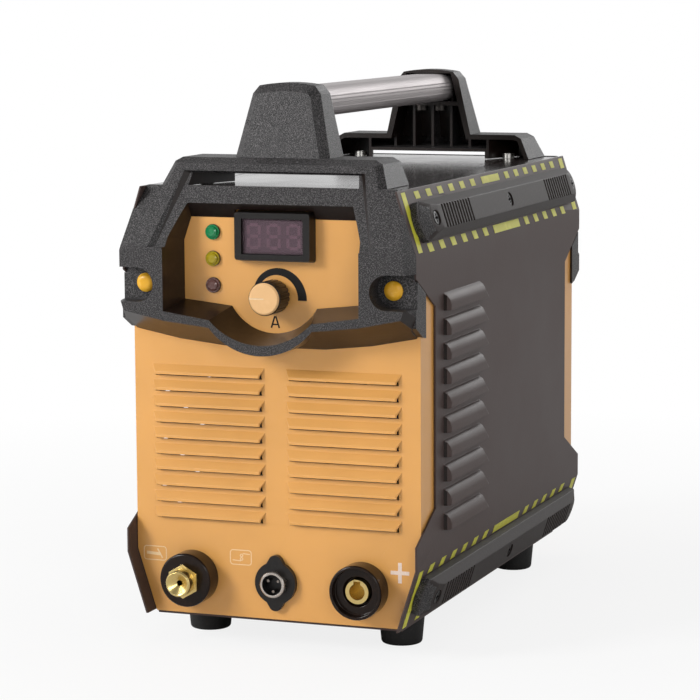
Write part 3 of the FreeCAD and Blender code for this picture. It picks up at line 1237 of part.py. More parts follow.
def diagonal(slope, length):
    """A wire across the middle of the guard, at half a right angle."""
    reach = "(%s) / sqrt(2)" % length
    slim = "guard_wire / 2 / sqrt(2)"
    low = ("-(%s)" % reach, "%s(%s)" % ("-" if slope > 0 else "", reach))
    high = (reach, "%s(%s)" % ("" if slope > 0 else "-", reach))
    tilt = "" if slope > 0 else "-"
    return [("%s + %s" % (low[0], slim), "%s - %s(%s)" % (low[1], tilt, slim)),
            ("%s + %s" % (high[0], slim), "%s - %s(%s)" % (high[1], tilt, slim)),
            ("%s - %s" % (high[0], slim), "%s + %s(%s)" % (high[1], tilt, slim)),
            ("%s - %s" % (low[0], slim), "%s + %s(%s)" % (low[1], tilt, slim))]


def diagonal_piece(a, b):
    """A short leg that joins the wire to its eye on the panel."""
    u = "%s(fan_pitch / 2 - 4.4)" % ("" if a > 0 else "-")
    v = "%s(fan_pitch / 2 - 4.4)" % ("" if b > 0 else "-")
    return middle_box(u, v, "guard_wire * 1.6", "guard_wire * 1.6")


def make_switch():
    wide = "(switch_width - 2 * switch_lip)"
    tall = "(switch_tall - 2 * switch_lip)"
    body = new_body("power_switch")
    pad(body, "XZ_Plane", "bezel", [centred("switch_width", "switch_tall")], "-switch_stand", "0")
    pad(body, "XZ_Plane", "case", [centred(wide, tall)], "0", "switch_depth")
    pocket(body, "XZ_Plane", "well", [centred(wide + " - 2.4", tall + " - 2.4")], "-switch_stand - 1",
           "switch_depth - 3")
    pin = "(rocker_pin + shaft_play)"
    pocket(body, "YZ_Plane", "pin_bores", [("circle", "4", "0", pin)], "-%s / 2 + 0.3" % wide,
           wide + " / 2 - 0.3")
    seat(body, "-(switch_across)", END, "switch_height", turned=True)
    keep(body)
    rocker = new_body("power_rocker")
    reach = "(rocker_arm - 1.6)"
    profile = [("7", "0"), ("2.5", reach), ("-3.2", reach), ("-0.6", "0"), ("-3.2", "-" + reach),
               ("2.5", "-" + reach)]
    half = "(%s / 2 - 1.2 - rocker_gap)" % wide
    pad(rocker, "YZ_Plane", "paddle", [[(u + " - 4", v) for u, v in profile]], "-" + half, half)
    pad(rocker, "YZ_Plane", "pins", [("circle", "0", "0", "rocker_pin")], "-%s / 2 + 0.5" % wide,
        wide + " / 2 - 0.5")
    tilt = FreeCAD.Rotation(FreeCAD.Vector(0, 0, 1),
                            180).multiply(FreeCAD.Rotation(FreeCAD.Vector(1, 0, 0), value("rocker_tilt")))
    rocker.Placement = FreeCAD.Placement(FreeCAD.Vector(), tilt)
    bind(rocker, "Placement.Base.x", "-(switch_across)")
    bind(rocker, "Placement.Base.y", END + " - 4")
    bind(rocker, "Placement.Base.z", "switch_height")
    keep(rocker)


def make_rear_fittings():
    gland = new_body("cable_gland")
    wide = "gland_width / 2"
    bore = "gland_bore / 2"
    turn(gland, "gland", [("11", bore), ("11", "gland_width * 0.4"), ("0", "gland_width * 0.4"),
                          ("0", wide), ("-7", wide), ("-7", wide + " - 1"),
                          ("-gland_stand + 6", wide + " - 1.4"), ("-gland_stand", wide + " - 3.2"),
                          ("-gland_stand", bore)])
    rear(gland, "gland_across", "gland_height")
    inlet = new_body("air_inlet")
    barb = "inlet_barb / 2"
    ridge = [("-6", barb + " - 0.8")]
    for step in range(3):
        ridge += [("-inlet_stand + %d" % (16 - 5 * step), barb),
                  ("-inlet_stand + %d" % (12 - 5 * step), barb + " - 0.8")]
    profile = [("12", "inlet_bore / 2"), ("12", barb + " + 1"), ("-6", barb + " + 1")] + ridge
    profile += [("-inlet_stand", barb + " - 0.8"), ("-inlet_stand", "inlet_bore / 2")]
    turn(inlet, "barb", profile)
    pad(inlet, "XZ_Plane", "hex", [hexagon("0", "0", "inlet_barb * 1.65"),
                                   ("circle", "0", "0", "inlet_barb")], "-6", "0")
    rear(inlet, "inlet_across", "inlet_height")
    earth = new_body("earth_screw")
    pad(earth, "XZ_Plane", "head", [hexagon("0", "0", "earth_screw * 1.66")], "-earth_screw * 0.65 - 1.6",
        "-1.6")
    pad(earth, "XZ_Plane", "washer", [("circle", "0", "0", "earth_screw * 2")], "-1.6", "0")
    pad(earth, "XZ_Plane", "shank", [("circle", "0", "0", "earth_screw")], "0", "12")
    rear(earth, "earth_across", "earth_height")


# Inner parts: control board, power stage on its heat sink, choke, valve and hoses


def make_boards():
    control = new_body("control_board")
    face = "(meter_depth + seat_gap)"
    pad(control, "XZ_Plane", "board", [box_loop("-58", "meter_height - 62", "58", "meter_height + 12")],
        face, face + " + board_wall")
    posts = [("circle", side + "51", "meter_height %s" % level,
              "6") for side in ("-", "") for level in ("- 56", "+ 6")]
    pad(control, "XZ_Plane", "posts", posts, "sheet_wall", face)
    pad(control, "XZ_Plane", "chips", [box_loop("10", "meter_height - 50", "34", "meter_height - 30"),
                                       box_loop("-44", "meter_height - 30", "-26", "meter_height - 4")],
        face + " + board_wall", face + " + board_wall + 4")
    keep(seat(control, "0", "-" + END))
    power = new_body("power_board")
    level = "(%s + sink_height + board_gap)" % TRAY_TOP
    pad(power, "XY_Plane", "board", [centred("sink_width + 12", "sink_length + 10")], level,
        level + " + board_wall")
    spots = [("circle", side + "(sink_width / 2 - 8)", end + "(sink_length / 2 - 8)",
              "7") for side in ("-", "") for end in ("-", "")]
    pad(power, "XY_Plane", "posts", spots, level + " - board_gap", level)
    keep(seat(power, "0", SINK_ALONG))


SINK_ALONG = "34"


def make_heat_sink():
    body = new_body("heat_sink")
    low = "(%s + sink_height - sink_plate)" % TRAY_TOP
    half = "sink_length / 2"
    pad(body, "XZ_Plane", "plate",
        [box_loop("-sink_width / 2", low, "sink_width / 2", low + " + sink_plate")], "-" + half, half)
    fin = pad(body, "XZ_Plane", "fin",
              [box_loop("-sink_width / 2", TRAY_TOP, "-sink_width / 2 + fin_wall", low + " + 1")],
              "-" + half, half)
    row(body, "fins", [fin], "X_Axis", "fin_pitch", "floor((sink_width - fin_wall) / fin_pitch) + 1")
    keep(seat(body, "0", SINK_ALONG))


def make_power_stage():
    level = "(%s + sink_height + board_gap + board_wall)" % TRAY_TOP
    core = new_body("transformer_core")
    window = "(core_width / 2 - 10)"
    leg = "9"
    pad(core, "XZ_Plane", "core", [middle_box("0", "core_height / 2", "core_width", "core_height")],
        "-core_depth / 2", "core_depth / 2")
    windows = [box_loop(leg, "10", window, "core_height - 10"),
               box_loop("-" + window, "10", "-" + leg, "core_height - 10")]
    pocket(core, "XZ_Plane", "windows", windows, "-core_depth", "core_depth")
    keep(seat(core, "0", "%s + 40" % SINK_ALONG, level))
    coil = new_body("transformer_coil")
    outer = centred("2 * (%s - seat_gap)" % window, "core_depth + 16")
    inner = centred("2 * %s + 2 * seat_gap" % leg, "core_depth + 2 * seat_gap")
    pad(coil, "XY_Plane", "coil", [outer, inner], "10 + seat_gap", "core_height - 10 - seat_gap")
    keep(seat(coil, "0", "%s + 40" % SINK_ALONG, level))
    cans = new_body("capacitors")
    spots = [(side, "0") for side in ("-can_width - 2", "0", "can_width + 2")]
    pad(cans, "XY_Plane", "cans", [("circle", u, v, "can_width") for u, v in spots], "0", "can_height")
    pocket(cans, "XY_Plane", "rims", [("circle", u, v, "can_width - 3") for u, v in spots],
           "can_height - 0.8", "can_height + 1")
    keep(seat(cans, "0", "%s - 50" % SINK_ALONG, level))
    choke = new_body("output_choke")
    outer = "choke_width / 2"
    inner = "choke_bore / 2"
    turn(choke, "ring", [(inner, "3"), (inner + " + 3", "0"), (outer + " - 3", "0"), (outer, "3"),
                         (outer, "choke_height - 3"),
                         (outer + " - 3", "choke_height"), (inner + " + 3", "choke_height"),
                         (inner, "choke_height - 3")], "XZ_Plane", "V_Axis")
    keep(seat(choke, "34", "-76", TRAY_TOP))


def make_air_parts():
    body = new_body("valve_body")
    wide = "valve_width"
    pad(body, "XY_Plane", "block", [centred(wide, "valve_length")], "0", "30")
    side = "(-socket_across + valve_across)"
    ports = [("circle", side, "socket_height - %s" % TRAY_TOP, "valve_bore")]
    pocket(body, "XZ_Plane", "front_port", ports, "-valve_length", "0")
    ports = [("circle", "-inlet_across + valve_across", "inlet_height - %s" % TRAY_TOP, "valve_bore")]
    pocket(body, "XZ_Plane", "rear_port", ports, "0", "valve_length")
    keep(seat(body, "-valve_across", "valve_along", TRAY_TOP))
    coil = new_body("valve_coil")
    pad(coil, "XY_Plane", "coil", [centred(wide + " - 2", "valve_length - 12")], "30", "58")
    pad(coil, "XY_Plane", "nut", [hexagon("0", "0", "10")], "58", "62")
    keep(seat(coil, "-valve_across", "valve_along", TRAY_TOP))
    hoses = new_body("air_hoses")
    front_end = "(-%s + fitting_tail_length + seat_gap)" % END
    rear_end = "(%s - 12 - seat_gap)" % END
    port = "(valve_along - valve_length / 2 + 8)"
    tube = [("circle", "-socket_across", "socket_height", "pipe_width"),
            ("circle", "-socket_across", "socket_height", "pipe_width - 2")]
    pad(hoses, "XZ_Plane", "front_hose", tube, front_end, port)
    port = "(valve_along + valve_length / 2 - 8)"
    tube = [("circle", "-inlet_across", "inlet_height", "pipe_width"),
            ("circle", "-inlet_across", "inlet_height", "pipe_width - 2")]
    pad(hoses, "XZ_Plane", "rear_hose", tube, port, rear_end)
    keep(hoses)


MAKERS = (make_cover, make_front_panel, make_rear_panel, make_frame, make_rear_frame, make_bar,
          make_frame_screws, make_deck_and_handle_screws,
          make_rails, make_tray, make_feet, make_meter, make_lamps, make_knob, make_torch, make_control,
          make_power_socket, make_fan,
          make_switch, make_rear_fittings, make_boards, make_heat_sink, make_power_stage, make_air_parts)

for make in MAKERS:
    make()
doc.recompute()

for thing in doc.Objects:
    if "Invalid" in thing.State or "Error" in thing.State:
        raise RuntimeError("%s could not be built" % thing.Label)

os.makedirs("parts", exist_ok=True)
for piece in pieces:
    shape = piece.Shape
    if shape.isNull() or not shape.isValid() or shape.Volume <= 0:
        raise RuntimeError("%s has no sound shape" % piece.Label)
    shape.exportStep("parts/%s.step" % piece.Label)
print(len(pieces), "pieces written")
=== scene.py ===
# %% [markdown]
# A cutter's power unit, dressed for the camera
#
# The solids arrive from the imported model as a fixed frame, each in its real place and size.
# This lesson gives them their finishes, rounds the edges that a mould or a press brake rounds,
# and adds what a solid leaves out: printed marks, painted stripes and unlit digits.

import bpy
import bmesh
import json
import math
from mathutils import Matrix, Vector


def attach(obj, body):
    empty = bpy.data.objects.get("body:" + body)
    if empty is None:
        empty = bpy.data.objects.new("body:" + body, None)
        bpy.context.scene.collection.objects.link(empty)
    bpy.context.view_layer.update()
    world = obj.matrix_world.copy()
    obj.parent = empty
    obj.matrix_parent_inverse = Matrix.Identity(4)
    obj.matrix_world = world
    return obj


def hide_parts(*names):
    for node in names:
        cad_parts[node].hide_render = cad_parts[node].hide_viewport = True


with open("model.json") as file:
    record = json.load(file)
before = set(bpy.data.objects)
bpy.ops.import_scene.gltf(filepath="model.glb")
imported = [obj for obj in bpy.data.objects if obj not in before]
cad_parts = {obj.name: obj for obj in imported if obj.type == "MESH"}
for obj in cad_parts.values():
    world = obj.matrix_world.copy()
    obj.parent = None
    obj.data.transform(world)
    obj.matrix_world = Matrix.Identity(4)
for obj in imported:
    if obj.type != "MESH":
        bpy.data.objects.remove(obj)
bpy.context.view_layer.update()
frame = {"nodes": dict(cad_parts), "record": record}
MM = 0.001
print(len(frame["nodes"]), "pieces in the frame")

# %% [markdown]
# Colour
#
# Paint charts and photographs give colours as sRGB hex values, while a shader adds up light,
# so it wants linear numbers. One function turns the first into the second, and two more make
# a colour darker or brighter and a grey out of one number.

# %% Colour helpers
LOW_END = 0.04045


def linear(code):
    """An sRGB hex value as the linear colour that a shader reads."""
    parts = [int(code[i:i + 2], 16) / 255 for i in (0, 2, 4)]
    return [p / 12.92 if p <= LOW_END else ((p + 0.055) / 1.055) ** 2.4 for p in parts] + [1]


def scaled(colour, factor):
    """The same colour, darker or brighter."""
    return [min(c * factor, 1) for c in colour[:3]] + [1]


def grey(value):
    return [value] * 3 + [1]


print("amber paint is", [round(c, 3) for c in linear("E0A357")])

# %% [markdown]
# Building a material
#
# Every finish here is a small network of nodes. One helper adds a node, sets its fields and
# plugs in its links, so that a material reads as a list of what it is made of.


# %% Node helpers
def add(tree, kind, links=None, values=None, **fields):
    """Adds a node; links maps an input to a (node, output) pair and values to a plain number."""
    node = tree.nodes.new(kind)
    for field, setting in fields.items():
        setattr(node, field, setting)
    for key, setting in (values or {}).items():
        node.inputs[key].default_value = setting
    for key, (source, output) in (links or {}).items():
        tree.links.new(source.outputs[output], node.inputs[key])
    return node


def new_material(name):
    """An empty material, its tree, and a node that gives the piece's own coordinates."""
    material = bpy.data.materials.new(name)
    material.use_nodes = True
    tree = material.node_tree
    tree.nodes.clear()
    place = add(tree, "ShaderNodeTexCoord")
    return material, tree, place


def shade(tree, values, links):
    """The surface shader and its link to the output."""
    surface = add(tree, "ShaderNodeBsdfPrincipled", links=links, values=values)
    add(tree, "ShaderNodeOutputMaterial", links={"Surface": (surface, "BSDF")})


def speckle(tree, place, size_mm, detail, output="Object"):
    """Noise whose blotches are about size_mm across."""
    return add(tree, "ShaderNodeTexNoise", links={"Vector": (place, output)},
               values={"Scale": 1.0 / (size_mm * MM), "Detail": detail})


def ramp(tree, noise, low, high, stops=(0.3, 0.7)):
    """Maps a noise to two colours between two stops."""
    node = add(tree, "ShaderNodeValToRGB", links={"Fac": (noise, "Fac")})
    for element, stop, colour in zip(node.color_ramp.elements, stops, (low, high)):
        element.position = stop
        element.color = colour
    return node


def dent(tree, noise, depth_mm):
    """Turns a noise into small dents of a real depth."""
    return add(tree, "ShaderNodeBump", links={"Height": (noise, "Fac")},
               values={"Strength": 1.0, "Distance": depth_mm * MM})


# %% [markdown]
# Powder-coated sheet steel
#
# The front pan and the cover are folded sheet, sprayed with dry paint and baked. Baked powder
# flows into a faint orange peel with lumps of one or two millimetres, and it stays satin.
# The cover's dark paint is a warm grey, the pan's an amber.


# %% Paint
CLOUD = 60
TONE_RANGE = (0.93, 1.05)
SHINE_RANGE = (-0.03, 0.04)
PEEL_DEPTH = 0.035


def powder_coat(name, code, roughness, peel_mm=1.6, coat=0.0, gloss=0.5):
    """Baked paint: faint clouds in its tone and shine, over an orange peel of small lumps."""
    material, tree, place = new_material(name)
    cloud = speckle(tree, place, CLOUD, 3)
    tone = ramp(tree, cloud, *(scaled(linear(code), factor) for factor in TONE_RANGE))
    shine = ramp(tree, cloud, *(grey(roughness + change) for change in SHINE_RANGE))
    bump = dent(tree, speckle(tree, place, peel_mm, 1), PEEL_DEPTH)
    shade(tree,
          {"IOR": 1.5, "Specular IOR Level": gloss, "Coat Weight": coat, "Coat Roughness": 0.2},
          {"Base Color": (tone, "Color"), "Roughness": (shine, "Color"),
           "Normal": (bump, "Normal")})
    return material


AMBER = powder_coat("amber_powder_coat", "E0A357", 0.34, coat=0.25)
DARK_PAINT = powder_coat("warm_grey_powder_coat", "493C39", 0.45, gloss=0.22)
DECK_PAINT = powder_coat("deck_powder_coat", "37302F", 0.16, peel_mm=3.0)
# Painted shade: a dark colour for the inside faces of the pans, where the closed case lies in
# shade.
INSIDE_SHADE = powder_coat("painted_inside_shade", "1A1412", 0.6)
print(AMBER.name, DARK_PAINT.name)

# %% [markdown]
# Grained moulding
#
# The end frames are ABS from a spark-eroded mould. Its grain has pits of about half a
# millimetre that catch the light as pale specks on black, so the colour and the dents share
# one noise. The other mouldings are smoother, and their two tones lie close together.


# %% Mouldings
SPECK_EDGE = (-0.08, 0.1)


def moulded(name, code, speck_code, grain_mm, depth_mm, roughness, share=0.6, gloss=0.35):
    """Plastic, rubber or ink in two tones; share is the part of the noise below the specks."""
    material, tree, place = new_material(name)
    grain = speckle(tree, place, grain_mm, 3)
    tone = ramp(tree, grain, linear(code), linear(speck_code),
                [share + change for change in SPECK_EDGE])
    bump = dent(tree, grain, depth_mm)
    shade(tree, {"IOR": 1.53, "Roughness": roughness, "Specular IOR Level": gloss},
          {"Base Color": (tone, "Color"), "Normal": (bump, "Normal")})
    return material


# name, colour, speck colour, grain and its depth in mm, roughness
GRAINED = moulded("grained_abs", "0A0909", "5A5657", 0.55, 0.22, 0.42, share=0.55)
REVEAL = moulded("polished_abs", "1A120F", "241A16", 3.0, 0.02, 0.28)
SMOOTH_BLACK = moulded("satin_abs", "2A2321", "342C2A", 1.4, 0.04, 0.5, gloss=0.2)
FAN_BLACK = moulded("glass_filled_nylon", "191919", "2E2E2E", 1.2, 0.05, 0.5)
KNOB_BLACK = moulded("phenolic_black", "100D0C", "1A1614", 1.2, 0.02, 0.3)
GLOSS_BLACK = moulded("gloss_phenolic", "1C120D", "251811", 3.0, 0.01, 0.14, gloss=0.2)
RUBBER = moulded("nitrile_rubber", "110F0F", "1E1C1B", 1.1, 0.06, 0.55)
TAN_CAP = moulded("tan_abs", "E2B57F", "E7BB86", 6.0, 0.01, 0.42)
YELLOW_CAP = moulded("yellow_acetal", "F0B22E", "F7C24A", 2.5, 0.02, 0.25)
ROCKER_RED = moulded("red_nylon", "A81412", "B92420", 2.5, 0.02, 0.3)
BOARD_GREEN = moulded("glass_epoxy_board", "12602E", "1C7A3E", 3.0, 0.03, 0.4)
CHOKE_VARNISH = moulded("varnished_winding", "7A3418", "96481F", 2.0, 0.3, 0.35)
TAPE_YELLOW = moulded("winding_tape", "C9A227", "D8B645", 3.0, 0.05, 0.45)
FERRITE = moulded("sintered_ferrite", "2D2D31", "424248", 1.0, 0.08, 0.6)
CAN_SLEEVE = moulded("pvc_sleeve", "10204F", "182C66", 4.0, 0.02, 0.25)
HOSE_BLUE = moulded("polyurethane_hose", "15408F", "1E50A8", 3.0, 0.02, 0.3)
DISPLAY_DARK = moulded("display_face", "3A2E33", "44373D", 2.0, 0.01, 0.5)
SEGMENT = moulded("unlit_segment", "8E7079", "987A83", 2.0, 0.01, 0.45)
INK = moulded("screen_ink", "0E0C0B", "171413", 1.0, 0.01, 0.5, gloss=0.2)
PALE_INK = moulded("pale_ink", "EBD5C6", "F2DFD2", 1.0, 0.01, 0.5)
FAINT_INK = moulded("faint_ink", "ECCB9C", "F2D5AC", 1.0, 0.01, 0.45)
STRIPE = moulded("olive_yellow_paint", "CFCB42", "D9D54E", 6.0, 0.02, 0.42, gloss=0.25)
POINTER = moulded("pointer_paint", "EBD2AE", "F2DDBE", 2.0, 0.01, 0.4)
print(len(bpy.data.materials), "materials so far")

# %% [markdown]
# Metals
#
# Metals take their look from what reflects in them. Turned brass carries fine rings, an
# extruded bar fine lines along its length, plated steel almost nothing. The rings and lines
# are one noise, stretched or squeezed along an axis.


# %% Metal finishes
DULL_SHARE = 0.86


def metal(name, code, roughness, grain_mm, stretch=(1, 1, 1), depth_mm=0.01, spread=0.08,
          metallic=1.0):
    """A metal whose tone and shine change with its grain; spread is how far the shine does."""
    material, tree, place = new_material(name)
    fit = add(tree, "ShaderNodeMapping", links={"Vector": (place, "Object")},
              values={"Scale": stretch})
    grain = speckle(tree, fit, grain_mm, 3, "Vector")
    tone = ramp(tree, grain, scaled(linear(code), DULL_SHARE), linear(code))
    shine = ramp(tree, grain, grey(roughness - spread / 2), grey(roughness + spread))
    bump = dent(tree, grain, depth_mm)
    shade(tree, {"Metallic": metallic},
          {"Base Color": (tone, "Color"), "Roughness": (shine, "Color"),
           "Normal": (bump, "Normal")})
    return material


# name, colour, roughness, grain in mm, stretch along x, y and z
ANODISED = metal("anodised_aluminium", "BDB7B7", 0.5, 0.6, (1, 0.02, 1), 0.02, metallic=0.7)
ZINC = metal("zinc_plated_steel", "C9C7C2", 0.28, 0.8)
NICKEL = metal("nickel_plate", "D8D2CA", 0.16, 3.0)
# A darker nickel than the shell's, for the pins deep in the trigger socket.
DARKER_NICKEL = metal("darker_nickel_plate", "8A827B", 0.16, 3.0)
SATIN_NICKEL = metal("satin_nickel_plate", "C4BCB4", 0.22, 3.0)
BLACKENED = metal("blackened_steel", "3C3937", 0.4, 0.8)
BRASS = metal("turned_brass", "DEC583", 0.24, 0.5, (1, 6, 1), 0.001, spread=0.02)
MILL_ALUMINIUM = metal("mill_finish_aluminium", "B9BABB", 0.4, 1.0, (1, 0.05, 1))
print("metals ready")

# %% [markdown]
# Clear pieces
#
# The lamps are tinted polycarbonate, which lets some light into its body. The meter's window is
# smoked acrylic: a share of the light goes straight through it, and the rest meets a glossy,
# tinted face, so that the digits behind it show faintly.

# %% Clear finishes
CLEAR_IOR = 1.49
LENS_CLOUD = 8
LENS_RIPPLE = 0.004
PANE_CLOUD = 12
PANE_TINT = (0.92, 0.9, 0.92, 1)


def clear(name, code):
    """Tinted plastic that lets some light into its body."""
    material, tree, place = new_material(name)
    cloud = speckle(tree, place, LENS_CLOUD, 2)
    tone = ramp(tree, cloud, linear(code), scaled(linear(code), 1.06))
    bump = dent(tree, cloud, LENS_RIPPLE)
    shade(tree, {"IOR": CLEAR_IOR, "Roughness": 0.12, "Transmission Weight": 0.35},
          {"Base Color": (tone, "Color"), "Normal": (bump, "Normal")})
    return material


def pane(name, code, share):
    """A thin flat pane; share is the part of the light that goes straight through."""
    material, tree, place = new_material(name)
    cloud = speckle(tree, place, PANE_CLOUD, 1)
    tone = ramp(tree, cloud, linear(code), scaled(linear(code), 1.08))
    face = add(tree, "ShaderNodeBsdfPrincipled", links={"Base Color": (tone, "Color")},
               values={"IOR": CLEAR_IOR, "Roughness": 0.08})
    through = add(tree, "ShaderNodeBsdfTransparent", values={"Color": PANE_TINT})
    both = add(tree, "ShaderNodeMixShader", links={1: (face, 0), 2: (through, 0)},
               values={0: share})
    add(tree, "ShaderNodeOutputMaterial", links={"Surface": (both, 0)})
    return material


SMOKED = pane("smoked_acrylic", "7A656E", 0.68)
GREEN_LENS = clear("green_lens", "1C9A5C")
YELLOW_LENS = clear("yellow_lens", "C0AA14")
VIOLET_LENS = clear("violet_lens", "7A544E")
print("clear finishes ready")

# %% [markdown]
# Dressing the solids
#
# A solid whose shape is right keeps its mesh and only gets its finish.

# %% Finishes of the solids
RAILS = ("bumper_upper_right", "bumper_upper_left", "bumper_lower_right", "bumper_lower_left")
FEET = ("foot_front_left", "foot_front_right", "foot_rear_left", "foot_rear_right")
FINISH = {
    **dict.fromkeys(RAILS, SMOOTH_BLACK), **dict.fromkeys(FEET, RUBBER),
    "cover_shell": DARK_PAINT, "base_tray": DARK_PAINT, "front_panel": AMBER, "rear_panel": AMBER,
    "front_frame": GRAINED, "rear_frame": GRAINED, "handle_bar": ANODISED,
    "handle_screws": BLACKENED, "bumper_screws": KNOB_BLACK, "deck_screws": ZINC,
    "frame_screws": ZINC, "screw_caps": YELLOW_CAP, "foot_screws": ZINC,
    "meter_housing": KNOB_BLACK, "meter_window": SMOKED, "meter_display": DISPLAY_DARK,
    "lamp_bezels": KNOB_BLACK, "lamp_lens_green": GREEN_LENS, "lamp_lens_yellow": YELLOW_LENS,
    "lamp_lens_violet": VIOLET_LENS, "current_knob": KNOB_BLACK, "knob_cap": TAN_CAP,
    "potentiometer_body": ZINC, "potentiometer_nut": NICKEL, "potentiometer_shaft": NICKEL,
    "torch_ring": GLOSS_BLACK, "torch_fitting": BRASS, "control_flange": KNOB_BLACK,
    "control_shell": SATIN_NICKEL, "control_pins": DARKER_NICKEL, "positive_housing": GLOSS_BLACK,
    "positive_insert": BRASS, "fan_frame": FAN_BLACK, "fan_rotor": FAN_BLACK,
    "fan_guard": NICKEL, "fan_screws": ZINC, "power_switch": KNOB_BLACK,
    "power_rocker": ROCKER_RED, "cable_gland": SMOOTH_BLACK, "air_inlet": BRASS,
    "earth_screw": BRASS, "control_board": BOARD_GREEN, "power_board": BOARD_GREEN,
    "heat_sink": MILL_ALUMINIUM, "transformer_core": FERRITE, "transformer_coil": TAPE_YELLOW,
    "output_choke": CHOKE_VARNISH, "capacitors": CAN_SLEEVE, "valve_body": BRASS,
    "valve_coil": FAN_BLACK, "air_hoses": HOSE_BLUE,
}
BODY = {node: body for body, nodes in frame["record"]["behaviour"]["bodies"].items()
        for node in nodes}
for node, material in FINISH.items():
    frame["nodes"][node].data.materials.clear()
    frame["nodes"][node].data.materials.append(material)
print("no finish yet:", sorted(set(frame["nodes"]) - set(FINISH)))

# %% [markdown]
# Rounded edges
#
# Nothing that is moulded, folded or turned has a knife edge, and the thin highlight along a
# rounded edge is most of what makes a thing look real. A copy of the solid's mesh is merged,
# its flat faces are joined again, and a Bevel modifier rounds what is sharp. Faces with many
# corners are cut into triangles before that, because they can't be shaded evenly.

# %% Merged copies
MERGE_DISTANCE = 2e-6
FLAT_ANGLE = 0.6
MOST_CORNERS = 4


def merged_copy(mesh):
    """A copy of a solid's mesh, whose flat faces are whole again where they are simple."""
    copy = mesh.copy()
    work = bmesh.new()
    work.from_mesh(copy)
    bmesh.ops.remove_doubles(work, verts=work.verts, dist=MERGE_DISTANCE)
    bmesh.ops.dissolve_limit(work, angle_limit=math.radians(FLAT_ANGLE), verts=work.verts,
                             edges=work.edges)
    bmesh.ops.triangulate(work, faces=[f for f in work.faces if len(f.verts) > MOST_CORNERS])
    work.to_mesh(copy)
    work.free()
    return copy


trial = merged_copy(frame["nodes"]["front_frame"].data)
print("the front frame has", len(trial.polygons), "faces before its edges are rounded")
bpy.data.meshes.remove(trial)

# %% [markdown]
# Rounding and shading
#
# The bevel is settled into a plain mesh, every crease is marked, and the big flat faces then
# decide the shading round them, so that a rounded edge doesn't pull a flat wall out of true.

# %% Rounded copies
BEVEL_ANGLE = 28
BEVEL_STEPS = 3
CREASE_ANGLE = 30


def settle(piece):
    """Applies a piece's modifiers, so that it is a plain mesh."""
    bpy.context.view_layer.update()
    evaluated = piece.evaluated_get(bpy.context.evaluated_depsgraph_get())
    mesh = bpy.data.meshes.new_from_object(evaluated)
    piece.modifiers.clear()
    piece.data = mesh


def shade_by_angle(mesh):
    """Smooth faces, with a crease wherever two of them meet at more than the crease angle."""
    work = bmesh.new()
    work.from_mesh(mesh)
    for face in work.faces:
        face.smooth = True
    for edge in work.edges:
        edge.smooth = edge.is_manifold and edge.calc_face_angle(0) < math.radians(CREASE_ANGLE)
    work.to_mesh(mesh)
    work.free()


def soften(node, width_mm):
    """Puts a copy with rounded edges in the place of a solid."""
    piece = bpy.data.objects.new(node + "_shape", merged_copy(frame["nodes"][node].data))
    bpy.context.scene.collection.objects.link(piece)
    bevel = piece.modifiers.new("edges", "BEVEL")
    bevel.width = width_mm * MM
    bevel.segments = BEVEL_STEPS
    bevel.limit_method = "ANGLE"
    bevel.angle_limit = math.radians(BEVEL_ANGLE)
    bevel.miter_outer = "MITER_ARC"
    settle(piece)
    shade_by_angle(piece.data)
    flat = piece.modifiers.new("flat_faces", "WEIGHTED_NORMAL")
    flat.keep_sharp = True
    flat.weight = 100
    settle(piece)
    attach(piece, BODY[node])
    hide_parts(node)
    return piece


# node and the width of its rounded edges, in mm
EDGES = {
    "front_frame": 1.2, "rear_frame": 1.2, "cover_shell": 0.5, "front_panel": 0.4,
    "rear_panel": 0.4, **dict.fromkeys(RAILS, 0.8), "meter_housing": 0.6, "torch_ring": 0.5,
    "torch_fitting": 0.2, "positive_housing": 0.5, "positive_insert": 0.3,
    "control_flange": 0.6, "control_shell": 0.3, "screw_caps": 0.6,
    **dict.fromkeys(FEET, 0.8), "handle_bar": 0.3, "deck_screws": 0.4, "bumper_screws": 0.4,
    "fan_screws": 0.4, "handle_screws": 0.4, "lamp_bezels": 0.4, "knob_cap": 0.15,
    "current_knob": 0.25, "cable_gland": 0.6, "power_switch": 0.5, "power_rocker": 0.6,
    "fan_guard": 0.3,
}
SHAPE = {node: soften(node, width) for node, width in EDGES.items()}
print(len(SHAPE), "softened pieces,",
      sum(len(shape.data.polygons) for shape in SHAPE.values()), "faces")

# %% [markdown]
# Two finishes on one moulding
#
# Only the outer skin of the end frames is grained. The reveal round the panel, the skirt below
# it and the ribbed back are smooth, because a grained wall would not slide out of the mould.
# Depths are counted back from the case's end face. A face is chosen by where its middle is
# and by which way it looks: a normal's share of 1 tells how squarely it looks along an axis.

# %% Smooth walls of the frames
HALF_DEPTH = 148.0
WINDOW_MIDDLE = 216.0
WINDOW_REACH = 58
WINDOW_HEIGHTS = (170, 256)
REVEAL_DEPTHS = (-22.4, 0.5)
SKIRT_TOP = 196
BACK_DEPTH = 5


def second_finish(piece, material, chosen):
    """Gives some faces another finish; chosen looks at a face's middle, in mm, and its normal."""
    slot_number = len(piece.data.materials)
    piece.data.materials.append(material)
    for face in piece.data.polygons:
        if chosen(face.center / MM, face.normal):
            face.material_index = slot_number


